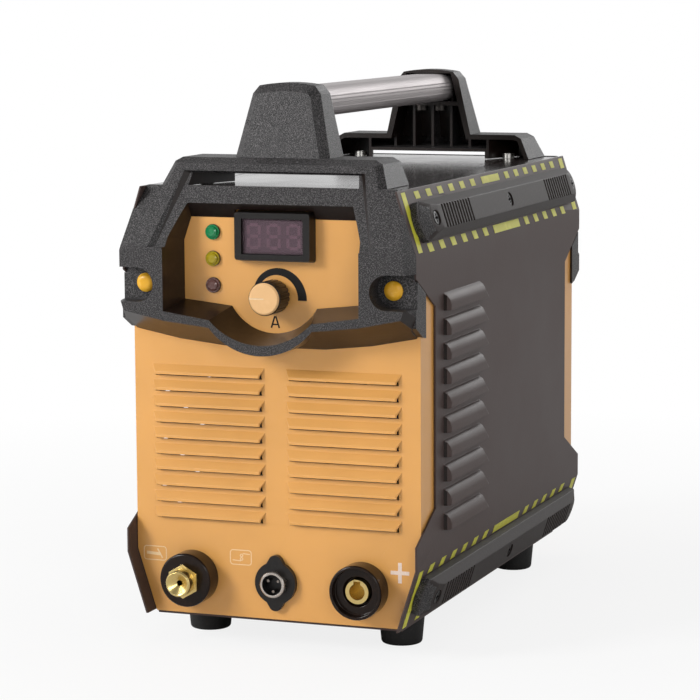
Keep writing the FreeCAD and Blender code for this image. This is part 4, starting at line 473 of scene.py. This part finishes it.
def smooth_wall(end):
    """Chooses the smooth faces of an end frame; end is -1 in front and 1 at the rear."""
    def chosen(middle, normal):
        depth = HALF_DEPTH - end * middle.y
        outward = end * normal.y
        towards = -normal.x * middle.x + normal.z * (WINDOW_MIDDLE - middle.z)
        in_window = (abs(middle.x) < WINDOW_REACH
                     and WINDOW_HEIGHTS[0] < middle.z < WINDOW_HEIGHTS[1]
                     and REVEAL_DEPTHS[0] < depth < REVEAL_DEPTHS[1])
        reveal = in_window and towards > 2 and outward < 0.9
        skirt = normal.z < -0.25 and middle.z < SKIRT_TOP
        facing_in = normal.z < -0.3 or normal.x * middle.x < -0.3 * abs(middle.x)
        return reveal or skirt or outward < -0.3 or (depth > BACK_DEPTH and facing_in)
    return chosen


second_finish(SHAPE["front_frame"], REVEAL, smooth_wall(-1))
second_finish(SHAPE["rear_frame"], REVEAL, smooth_wall(1))
print("the frames have", len(SHAPE["front_frame"].data.materials), "finishes each")

# %% [markdown]
# Painted outside, painted shade inside
#
# The inside faces of the pans get a dark colour as painted shade of the closed case, so that
# their louvres show a dark line. The front ends of the side louvres are gloss black as painted
# shade of their open mouths. The deck between the hoops is a smoother, glossier sheet than the
# sides, and it mirrors the handle. The ends of the corner rails carry the frames' grain, the
# trigger socket has a black core, and a pale line on the knob's cap is its pointer.

# %% Insides, ends, deck and pointer
END_ZONE = 14.0
DECK_ABOVE = 257
MOUTH_OUTSIDE = 86.2
MOUTH_DEPTHS = (-115, -112)
MOUTH_HEIGHTS = (60, 215)
TRIGGER_LEVEL = 38.6
CORE_RADIUS = 6.2
CORE_FRONT = -155
KNOB_LEVEL = 198.4
POINTER_HALF = 0.6
POINTER_DEPTHS = (-164.05, -163.5)
POINTER_END = 0.3


def rail_end(mesh):
    """Chooses the turned-in faces near both ends of a rail."""
    reach = [vertex.co.y / MM for vertex in mesh.vertices]
    first, last = min(reach), max(reach)
    return lambda middle, normal: (abs(normal.y) > 0.3
                                   and min(middle.y - first, last - middle.y) < END_ZONE)


def on_deck(middle, normal):
    return normal.z > 0.95 and middle.z > DECK_ABOVE


def painted_mouth_shade(middle, normal):
    """Chooses the front end of a side louvre, whose mouth opens to the front; it is painted black
    as painted shade.
    """
    return (normal.y < -0.9 and abs(middle.x) > MOUTH_OUTSIDE
            and MOUTH_DEPTHS[0] < middle.y < MOUTH_DEPTHS[1]
            and MOUTH_HEIGHTS[0] < middle.z < MOUTH_HEIGHTS[1])


def in_core(middle, normal):
    """Chooses what lies inside the shell of the trigger socket."""
    return math.hypot(middle.x, middle.z - TRIGGER_LEVEL) < CORE_RADIUS and middle.y > CORE_FRONT


def on_pointer(middle, normal):
    return (abs(middle.z - KNOB_LEVEL) < POINTER_HALF and middle.x < POINTER_END
            and POINTER_DEPTHS[0] < middle.y < POINTER_DEPTHS[1])


for node in RAILS:
    second_finish(SHAPE[node], GRAINED, rail_end(SHAPE[node].data))
# The inside faces of both pans get the dark painted shade.
second_finish(SHAPE["front_panel"], INSIDE_SHADE, lambda middle, normal: normal.y > 0.05)
second_finish(SHAPE["rear_panel"], INSIDE_SHADE, lambda middle, normal: normal.y < -0.05)
second_finish(SHAPE["cover_shell"], DECK_PAINT, on_deck)
# Painted shade: the front ends of the side louvres are gloss black, standing in for the shade in
# their open mouths.
second_finish(SHAPE["cover_shell"], GLOSS_BLACK, painted_mouth_shade)
second_finish(SHAPE["control_shell"], KNOB_BLACK, in_core)
second_finish(SHAPE["knob_cap"], POINTER, on_pointer)
print("pieces with more than one finish:",
      ", ".join(node for node, piece in SHAPE.items() if len(piece.data.materials) > 1))

# %% [markdown]
# Marks as thin ink
#
# Screen ink is a few hundredths of a millimetre thick. Here each mark is a strip between two
# lines of points and a tenth of a millimetre thick, so that it never flickers. Where two
# strokes cross, one of them is a little thicker.

# %% Strips of ink
PANEL_FACE = -HALF_DEPTH
INK_DEPTH = 0.1
CROSSING_DEPTH = INK_DEPTH * 1.2
INK_GAP = 0.005


def strip(work, near, far, closed=False, face=PANEL_FACE, depth=INK_DEPTH):
    """Adds a solid strip between two lines of (x, z) points, in mm, in front of a face."""
    layers = [[work.verts.new((x * MM, y * MM, z * MM)) for x, z in line]
              for y in (face - depth, face - INK_GAP) for line in (near, far)]
    near_front, far_front, near_back, far_back = layers
    count = len(near)
    for i in range(count if closed else count - 1):
        k = (i + 1) % count
        work.faces.new((near_front[i], near_front[k], far_front[k], far_front[i]))
        work.faces.new((near_back[i], far_back[i], far_back[k], near_back[k]))
        work.faces.new((near_front[i], near_back[i], near_back[k], near_front[k]))
        work.faces.new((far_front[i], far_front[k], far_back[k], far_back[i]))
    if not closed:
        for i in (0, count - 1):
            work.faces.new((near_front[i], far_front[i], far_back[i], near_back[i]))


def stroke(work, start, end, width, face=PANEL_FACE, depth=INK_DEPTH):
    """Adds a straight stroke of ink from one (x, z) point to another."""
    along = Vector(end) - Vector(start)
    side = Vector((-along.y, along.x)).normalized() * width / 2
    near = [tuple(Vector(start) + side), tuple(Vector(end) + side)]
    far = [tuple(Vector(start) - side), tuple(Vector(end) - side)]
    strip(work, near, far, False, face, depth)


print("ink reaches from", INK_GAP, "to", INK_DEPTH, "mm off its face")

# %% [markdown]
# Arcs, boxes and finished marks
#
# The round marks need points along an arc, and a boxed symbol needs a rectangle with rounded
# corners. Each drawing then becomes one object with its own ink.

# %% Arcs and boxes
CORNER_POINTS = 6
WELD = 1e-7


def arc_points(centre, radius, start_deg, end_deg, count):
    """Points along an arc; radius may be a pair that the arc runs between."""
    first, last = radius if isinstance(radius, tuple) else (radius, radius)
    points = []
    for i in range(count):
        share = i / (count - 1)
        angle = math.radians(start_deg + (end_deg - start_deg) * share)
        length = first + (last - first) * share
        points.append((centre[0] + length * math.cos(angle), centre[1] + length * math.sin(angle)))
    return points


def round_box(low, high, corner):
    """Points of a rectangle with rounded corners, counter-clockwise."""
    centres = ((high[0] - corner, high[1] - corner, 0), (low[0] + corner, high[1] - corner, 90),
               (low[0] + corner, low[1] + corner, 180), (high[0] - corner, low[1] + corner, 270))
    return [point for x, z, turn in centres
            for point in arc_points((x, z), corner, turn, turn + 90, CORNER_POINTS)]


def finish_marks(work, name, material):
    """Turns a drawing into one object that rides on the case."""
    bmesh.ops.remove_doubles(work, verts=work.verts, dist=WELD)
    bmesh.ops.recalc_face_normals(work, faces=work.faces)
    mesh = bpy.data.meshes.new(name)
    work.to_mesh(mesh)
    work.free()
    mesh.materials.append(material)
    piece = bpy.data.objects.new(name, mesh)
    bpy.context.scene.collection.objects.link(piece)
    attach(piece, "root")
    print(name, len(mesh.polygons), "faces")


print("a corner is drawn with", CORNER_POINTS, "points")

# %% [markdown]
# The scale round the knob
#
# A crescent starts narrow at the lower left, close to the knob, and swells clockwise away from
# it, so that turning the knob up reads as more current. Below stands the unit, A for ampere.

# %% The scale
KNOB_AXIS = (0.1, KNOB_LEVEL)
OUTER_RADII = (12.7, 19.1)
INNER_RADII = (9.9, 13.9)
SCALE_START = 160
OUTER_END = -6.2
INNER_END = -8.6
SCALE_POINTS = 48
work = bmesh.new()
strip(work, arc_points(KNOB_AXIS, OUTER_RADII, SCALE_START, OUTER_END, SCALE_POINTS),
      arc_points(KNOB_AXIS, INNER_RADII, SCALE_START, INNER_END, SCALE_POINTS))
finish_marks(work, "scale_crescent", INK)

# %% The unit's letter
LETTER_X = 0.4
LETTER_LOW = 180.9
LETTER_TALL = 6.5
LEG_SPREAD = (2.35, 0.25)
LEG_LINE = 0.9
RUNG_LEVEL = 1.9
RUNG_HALF = 1.5
RUNG_LINE = 0.8
work = bmesh.new()
for side in (-1, 1):
    stroke(work, (LETTER_X + side * LEG_SPREAD[0], LETTER_LOW),
           (LETTER_X + side * LEG_SPREAD[1], LETTER_LOW + LETTER_TALL), LEG_LINE)
stroke(work, (LETTER_X - RUNG_HALF, LETTER_LOW + RUNG_LEVEL),
       (LETTER_X + RUNG_HALF, LETTER_LOW + RUNG_LEVEL), RUNG_LINE)
finish_marks(work, "unit_letter", INK)

# %% [markdown]
# Marks beside the sockets
#
# The cross is the positive pole. The two small boxes hold line drawings of a torch and of its
# switch, drawn with strokes and two little rings.

# %% The pole's cross
POLE = (72.3, 48.9)
POLE_HALF = (5.4, 5.7)
POLE_LINE = 2.1
work = bmesh.new()
stroke(work, (POLE[0] - POLE_HALF[0], POLE[1]), (POLE[0] + POLE_HALF[0], POLE[1]), POLE_LINE)
stroke(work, (POLE[0], POLE[1] - POLE_HALF[1]), (POLE[0], POLE[1] + POLE_HALF[1]), POLE_LINE,
       depth=CROSSING_DEPTH)
finish_marks(work, "pole_cross", PALE_INK)

# %% The two boxed symbols
LINE = 0.5
BOX_CORNER = 1.4
SYMBOL_BOXES = (((-80.9, 46.2), (-66.8, 54.5)), ((-28.2, 46.9), (-15.1, 55.6)))
SYMBOL_STROKES = (
    # start, end, width and thickness: the torch's handle and head, then the switch's two lines
    ((-79.0, 50.4), (-70.8, 49.9), 1.7, INK_DEPTH),
    ((-72.4, 52.9), (-69.4, 47.7), 0.8, CROSSING_DEPTH),
    ((-20.4, 53.5), (-16.2, 53.2), LINE, CROSSING_DEPTH),
    ((-26.6, 49.6), (-21.6, 49.3), LINE, CROSSING_DEPTH),
)
RING_CENTRES = ((-21.2, 52.4), (-21.2, 50.4))
RING_RADII = (1.0, 0.5)
RING_TURN = 345
RING_POINTS = 24
work = bmesh.new()
for low, high in SYMBOL_BOXES:
    inner = round_box((low[0] + LINE, low[1] + LINE), (high[0] - LINE, high[1] - LINE), BOX_CORNER)
    strip(work, round_box(low, high, BOX_CORNER + LINE), inner, closed=True)
for start, end, width, depth in SYMBOL_STROKES:
    stroke(work, start, end, width, depth=depth)
for centre in RING_CENTRES:
    outer, inner = (arc_points(centre, radius, 0, RING_TURN, RING_POINTS)
                    for radius in RING_RADII)
    strip(work, outer, inner, closed=True)
finish_marks(work, "socket_symbols", FAINT_INK)

# %% [markdown]
# Unlit digits
#
# Seven-segment digits show faintly through the smoked window even when they are off.

# %% Digits
DIGIT_TALL = 14.2
DIGIT_WIDE = 7.6
DIGIT_PITCH = 11.6
SEGMENT_WIDE = 1.7
ACROSS_GAP = 1.5
UPRIGHT_GAP = 1.1
UPRIGHT_INSET = 0.6
METER = (1.5, 231.4)
DISPLAY_FACE = -152.1
work = bmesh.new()
for number in (-1, 0, 1):
    x = METER[0] + number * DIGIT_PITCH
    half = DIGIT_WIDE / 2
    for height in (-1, 0, 1):
        z = METER[1] + height * (DIGIT_TALL - SEGMENT_WIDE) / 2
        stroke(work, (x - half + ACROSS_GAP, z), (x + half - ACROSS_GAP, z), SEGMENT_WIDE,
               DISPLAY_FACE)
    for side in (-1, 1):
        for height in (-1, 1):
            z = METER[1] + height * DIGIT_TALL / 4
            reach = DIGIT_TALL / 4 - UPRIGHT_GAP
            upright = x + side * (half - UPRIGHT_INSET)
            stroke(work, (upright, z - reach), (upright, z + reach), SEGMENT_WIDE, DISPLAY_FACE)
finish_marks(work, "display_segments", SEGMENT)

# %% [markdown]
# Warning stripes with Geometry Nodes
#
# Rows of slanted plates run along the four flaps of the cover. What repeats is made by a small
# node group: a line of points, a sheared plate on each, and one material at the end.

# %% The stripe group
STRIPE_INPUTS = {"Start": "Float", "Pitch": "Float", "Count": "Int", "Length": "Float",
                 "Height": "Float", "Level": "Float", "Slant": "Float", "Thickness": "Float",
                 "Material": "Material"}


def build_stripe_group():
    """Points on a line, a sheared plate on each point, and one material on the plates."""
    tree = bpy.data.node_groups.new("stripe_row", "GeometryNodeTree")
    for name, kind in STRIPE_INPUTS.items():
        tree.interface.new_socket(name, in_out="INPUT", socket_type="NodeSocket" + kind)
    tree.interface.new_socket("Geometry", in_out="OUTPUT", socket_type="NodeSocketGeometry")
    given = add(tree, "NodeGroupInput")
    start = add(tree, "ShaderNodeCombineXYZ", links={"X": (given, "Start"), "Y": (given, "Level")})
    step = add(tree, "ShaderNodeCombineXYZ", links={"X": (given, "Pitch")})
    line = add(tree, "GeometryNodeMeshLine", mode="OFFSET",
               links={"Count": (given, "Count"), "Start Location": (start, 0), "Offset": (step, 0)})
    size = add(tree, "ShaderNodeCombineXYZ",
               links={"X": (given, "Length"), "Y": (given, "Height"), "Z": (given, "Thickness")})
    plate = add(tree, "GeometryNodeMeshCube", links={"Size": (size, 0)})
    spot = add(tree, "GeometryNodeInputPosition")
    parts = add(tree, "ShaderNodeSeparateXYZ", links={0: (spot, 0)})
    push = add(tree, "ShaderNodeMath", operation="MULTIPLY",
               links={0: (parts, "Y"), 1: (given, "Slant")})
    shift = add(tree, "ShaderNodeCombineXYZ", links={"X": (push, 0)})
    sheared = add(tree, "GeometryNodeSetPosition",
                  links={"Geometry": (plate, "Mesh"), "Offset": (shift, 0)})
    placed = add(tree, "GeometryNodeInstanceOnPoints",
                 links={"Points": (line, "Mesh"), "Instance": (sheared, "Geometry")})
    real = add(tree, "GeometryNodeRealizeInstances", links={"Geometry": (placed, "Instances")})
    painted = add(tree, "GeometryNodeSetMaterial",
                  links={"Geometry": (real, "Geometry"), "Material": (given, "Material")})
    add(tree, "NodeGroupOutput", links={"Geometry": (painted, "Geometry")})
    return tree


STRIPE_ROW = build_stripe_group()
SOCKETS = {item.name: item.identifier for item in STRIPE_ROW.interface.items_tree
           if item.in_out == "INPUT"}


def row_mesh(**values):
    """One row of plates as a plain mesh; lengths are in metres."""
    carrier = bpy.data.objects.new("stripe_carrier", bpy.data.meshes.new("stripe_carrier"))
    bpy.context.scene.collection.objects.link(carrier)
    modifier = carrier.modifiers.new("stripes", "NODES")
    modifier.node_group = STRIPE_ROW
    for name, setting in values.items():
        modifier[SOCKETS[name]] = setting
    bpy.context.view_layer.update()
    evaluated = carrier.evaluated_get(bpy.context.evaluated_depsgraph_get())
    mesh = bpy.data.meshes.new_from_object(evaluated)
    bpy.data.objects.remove(carrier)
    return mesh


print("stripe inputs:", ", ".join(SOCKETS))

# %% [markdown]
# Laying the stripes on the flaps
#
# A flap is a flat strip that leans in by 11 mm over its 34.5 mm rise. The rows are drawn flat,
# along the flap and up it from the knee, and then laid on each of the four flaps.

# %% Stripes on the four flaps
FLAP_LEAN = 11.0
FLAP_RISE = 34.5
FLAP_TALL = math.hypot(FLAP_LEAN, FLAP_RISE)
KNEE = (86.0, 223.5)
CASE_MIDDLE = 138.0
PLATE_THICK = 0.12
PLATE_LIFT = 0.08
PITCH = 19.5
TOP_PITCH = 19.1
BAR_LONG = 7.6
TOP_LEVEL = 32.2
TOP_TALL = 4.2
KNEE_LEVEL = 2.9
KNEE_TALL = 4.8
END_LEVEL = FLAP_TALL / 2
END_TALL = FLAP_TALL - 2.6
UPPER_SLANT = -0.22
LOWER_SLANT = -0.35
ROWS = (
    # start, pitch, count, length, level, height, leaning; mm from the panel's face and the knee
    (18.6, PITCH, 6, BAR_LONG, TOP_LEVEL, TOP_TALL, True),
    (149.6, 0.0, 1, 33.0, TOP_LEVEL, TOP_TALL, False),
    (181.6, TOP_PITCH, 6, BAR_LONG, TOP_LEVEL, TOP_TALL, True),
    (15.2, PITCH, 6, BAR_LONG, KNEE_LEVEL, KNEE_TALL, True),
    (153.5, 0.0, 1, 50.0, KNEE_LEVEL, KNEE_TALL, False),
    (193.5, PITCH, 5, BAR_LONG, KNEE_LEVEL, KNEE_TALL, True),
    (-2.6, 0.0, 1, 6.2, END_LEVEL, END_TALL, False),
    (298.0, 0.0, 1, 8.0, END_LEVEL, END_TALL, False),
)
FLAPS = (("upper_right", 1, 1), ("upper_left", -1, 1),
         ("lower_right", 1, -1), ("lower_left", -1, -1))


def axes_matrix(first, second, third, spot):
    """The matrix that lays x, y and z along three directions at a spot."""
    return Matrix([(first[i], second[i], third[i], spot[i]) for i in range(3)] + [(0, 0, 0, 1)])


def flap_matrix(side, upper):
    """Lays a flat drawing on a flap; side is 1 on the right, and upper is 1 above, -1 below."""
    up = Vector((-side * FLAP_LEAN, 0, upper * FLAP_RISE)) / FLAP_TALL
    out = Vector((side * FLAP_RISE, 0, upper * FLAP_LEAN)) / FLAP_TALL
    height = CASE_MIDDLE + upper * (KNEE[1] - CASE_MIDDLE)
    spot = Vector((side * KNEE[0], PANEL_FACE, height)) * MM + out * PLATE_LIFT * MM
    return axes_matrix((0, 1, 0), up, out, spot)


def flat_rows(slant):
    """All rows of one flap, drawn flat."""
    return [row_mesh(Start=start * MM, Pitch=pitch * MM, Count=count, Length=length * MM,
                     Height=height * MM, Level=level * MM, Slant=slant * leaning,
                     Thickness=PLATE_THICK * MM, Material=STRIPE)
            for start, pitch, count, length, level, height, leaning in ROWS]


DRAWN = {1: flat_rows(UPPER_SLANT), -1: flat_rows(LOWER_SLANT)}
for name, side, upper in FLAPS:
    work = bmesh.new()
    for mesh in DRAWN[upper]:
        work.from_mesh(mesh)
    work.transform(flap_matrix(side, upper))
    finish_marks(work, "stripes_" + name, STRIPE)

# %% [markdown]
# The camera
#
# The camera stands where the photographer's did: about one and a half metres away, slightly
# above the unit and to its right, with a long lens. The numbers come from the straight edges
# of the case, whose sizes are known.

# %% Camera
IMAGE_WIDE = 700
FOCAL_PIXELS = 2750.57
AZIMUTH = math.radians(20.51)
ELEVATION = math.radians(7.58)
ROLL = math.radians(-0.33)
DISTANCE = 1.49341
target = Vector((0.04396, -0.148, 0.17046))
backward = Vector((math.sin(AZIMUTH) * math.cos(ELEVATION),
                   -math.cos(AZIMUTH) * math.cos(ELEVATION), math.sin(ELEVATION)))
right = Vector((math.cos(AZIMUTH), math.sin(AZIMUTH), 0))
upward = backward.cross(right)
side = right * math.cos(ROLL) + upward * math.sin(ROLL)
over = -right * math.sin(ROLL) + upward * math.cos(ROLL)
lens = bpy.data.cameras.new("view")
lens.sensor_width = 36
lens.lens = FOCAL_PIXELS / IMAGE_WIDE * lens.sensor_width
camera = bpy.data.objects.new("view", lens)
bpy.context.scene.collection.objects.link(camera)
spot = target + backward * DISTANCE
camera.matrix_world = axes_matrix(side, over, backward, spot)
bpy.context.scene.camera = camera
print("the camera stands at", [round(c, 3) for c in spot])

# %% [markdown]
# Studio
#
# Square soft boxes light the unit, most of all from the front left, which leaves the right side
# in a softer tone.

# %% Soft boxes
SOFT_BOXES = (
    # name, place, aim, width and power; metres and watts
    ("key", (-1.2, -1.4, 0.95), (0, -0.1, 0.15), 0.6, 24),
    ("fill", (1.0, -1.6, 0.75), (0, -0.1, 0.15), 0.5, 5),
    ("left", (-1.7, -0.6, 0.7), (0, -0.1, 0.2), 0.6, 4),
    ("top", (-0.2, 0.1, 1.6), (0, 0, 0.1), 0.9, 3),
    ("side", (1.7, -0.4, 0.9), (0, 0, 0.15), 0.8, 2),
    ("rear", (0.6, 1.8, 1.0), (0, 0, 0.15), 0.9, 9),
)


def soft_box(name, place, aim, wide, power):
    """A square lamp that looks at a spot."""
    data = bpy.data.lights.new(name, "AREA")
    data.size = wide
    data.energy = power
    lamp = bpy.data.objects.new(name, data)
    bpy.context.scene.collection.objects.link(lamp)
    lamp.location = place
    lamp.rotation_euler = (Vector(aim) - Vector(place)).to_track_quat("-Z", "Y").to_euler()


for settings in SOFT_BOXES:
    soft_box(*settings)
print(len(SOFT_BOXES), "soft boxes,", sum(settings[-1] for settings in SOFT_BOXES), "watts")

# %% [markdown]
# A white world
#
# The world shows as white to the camera, through clear pieces and in reflections, while it adds
# only a level light. In reflections the white falls off overhead, as it does under a dark
# studio ceiling.

# %% World
WHITE = (1, 1, 1, 1)
LEVEL_LIGHT = 0.3
CEILING = {"From Min": 0.1, "From Max": 0.8, "To Min": 1.0, "To Max": 0.2}


def build_world():
    """White to the camera and through glass, falling off overhead in reflections."""
    world = bpy.data.worlds.new("studio")
    bpy.context.scene.world = world
    world.use_nodes = True
    sky = world.node_tree
    sky.nodes.clear()
    rays = add(sky, "ShaderNodeLightPath")
    seen = add(sky, "ShaderNodeMath", operation="MAXIMUM",
               links={0: (rays, "Is Camera Ray"), 1: (rays, "Is Transmission Ray")})
    ahead = add(sky, "ShaderNodeTexCoord")
    parts = add(sky, "ShaderNodeSeparateXYZ", links={0: (ahead, "Generated")})
    ceiling = add(sky, "ShaderNodeMapRange", links={"Value": (parts, "Z")}, values=CEILING)
    mirrored = add(sky, "ShaderNodeMath", operation="MULTIPLY",
                   links={0: (rays, "Is Glossy Ray"), 1: (ceiling, "Result")})
    brightest = add(sky, "ShaderNodeMath", operation="MAXIMUM",
                    links={0: (seen, 0), 1: (mirrored, 0)})
    level = add(sky, "ShaderNodeMath", operation="MAXIMUM", links={0: (brightest, 0)},
                values={1: LEVEL_LIGHT})
    glow = add(sky, "ShaderNodeBackground", links={"Strength": (level, 0)}, values={"Color": WHITE})
    add(sky, "ShaderNodeOutputWorld", links={"Surface": (glow, 0)})


build_world()
bpy.context.scene.view_settings.view_transform = "Standard"
print("the world's level light is", LEVEL_LIGHT)

# %% [markdown]
# A paper floor
#
# The floor is matt, pale paper that keeps the unit's shadow. To the camera it blends into white
# away from the unit, so that no horizon shows.

# %% Floor
FLOOR_WIDE = 30
PAPER = (0.86, 0.86, 0.86, 1)
SHADOW_ZONE = {"From Min": 0.25, "From Max": 0.75, "To Min": 0.84, "To Max": 1.0}


def build_floor():
    """Matt paper, which shows as white to the camera but for the shadow near the unit."""
    bpy.ops.mesh.primitive_plane_add(size=FLOOR_WIDE, location=(0, 0, 0))
    floor = bpy.context.object
    floor.name = "studio_floor"
    paper, sheet, place = new_material("white_paper")
    matt = add(sheet, "ShaderNodeBsdfDiffuse", values={"Color": PAPER})
    glow = add(sheet, "ShaderNodeEmission", values={"Color": WHITE, "Strength": 1.0})
    rays = add(sheet, "ShaderNodeLightPath")
    reach = add(sheet, "ShaderNodeVectorMath", operation="LENGTH", links={0: (place, "Object")})
    away = add(sheet, "ShaderNodeMapRange", links={"Value": (reach, "Value")}, values=SHADOW_ZONE)
    share = add(sheet, "ShaderNodeMath", operation="MULTIPLY",
                links={0: (rays, "Is Camera Ray"), 1: (away, "Result")})
    blend = add(sheet, "ShaderNodeMixShader", links={0: (share, 0), 1: (matt, 0), 2: (glow, 0)})
    add(sheet, "ShaderNodeOutputMaterial", links={"Surface": (blend, 0)})
    floor.data.materials.append(paper)


build_floor()
print("the floor is", FLOOR_WIDE, "m wide")
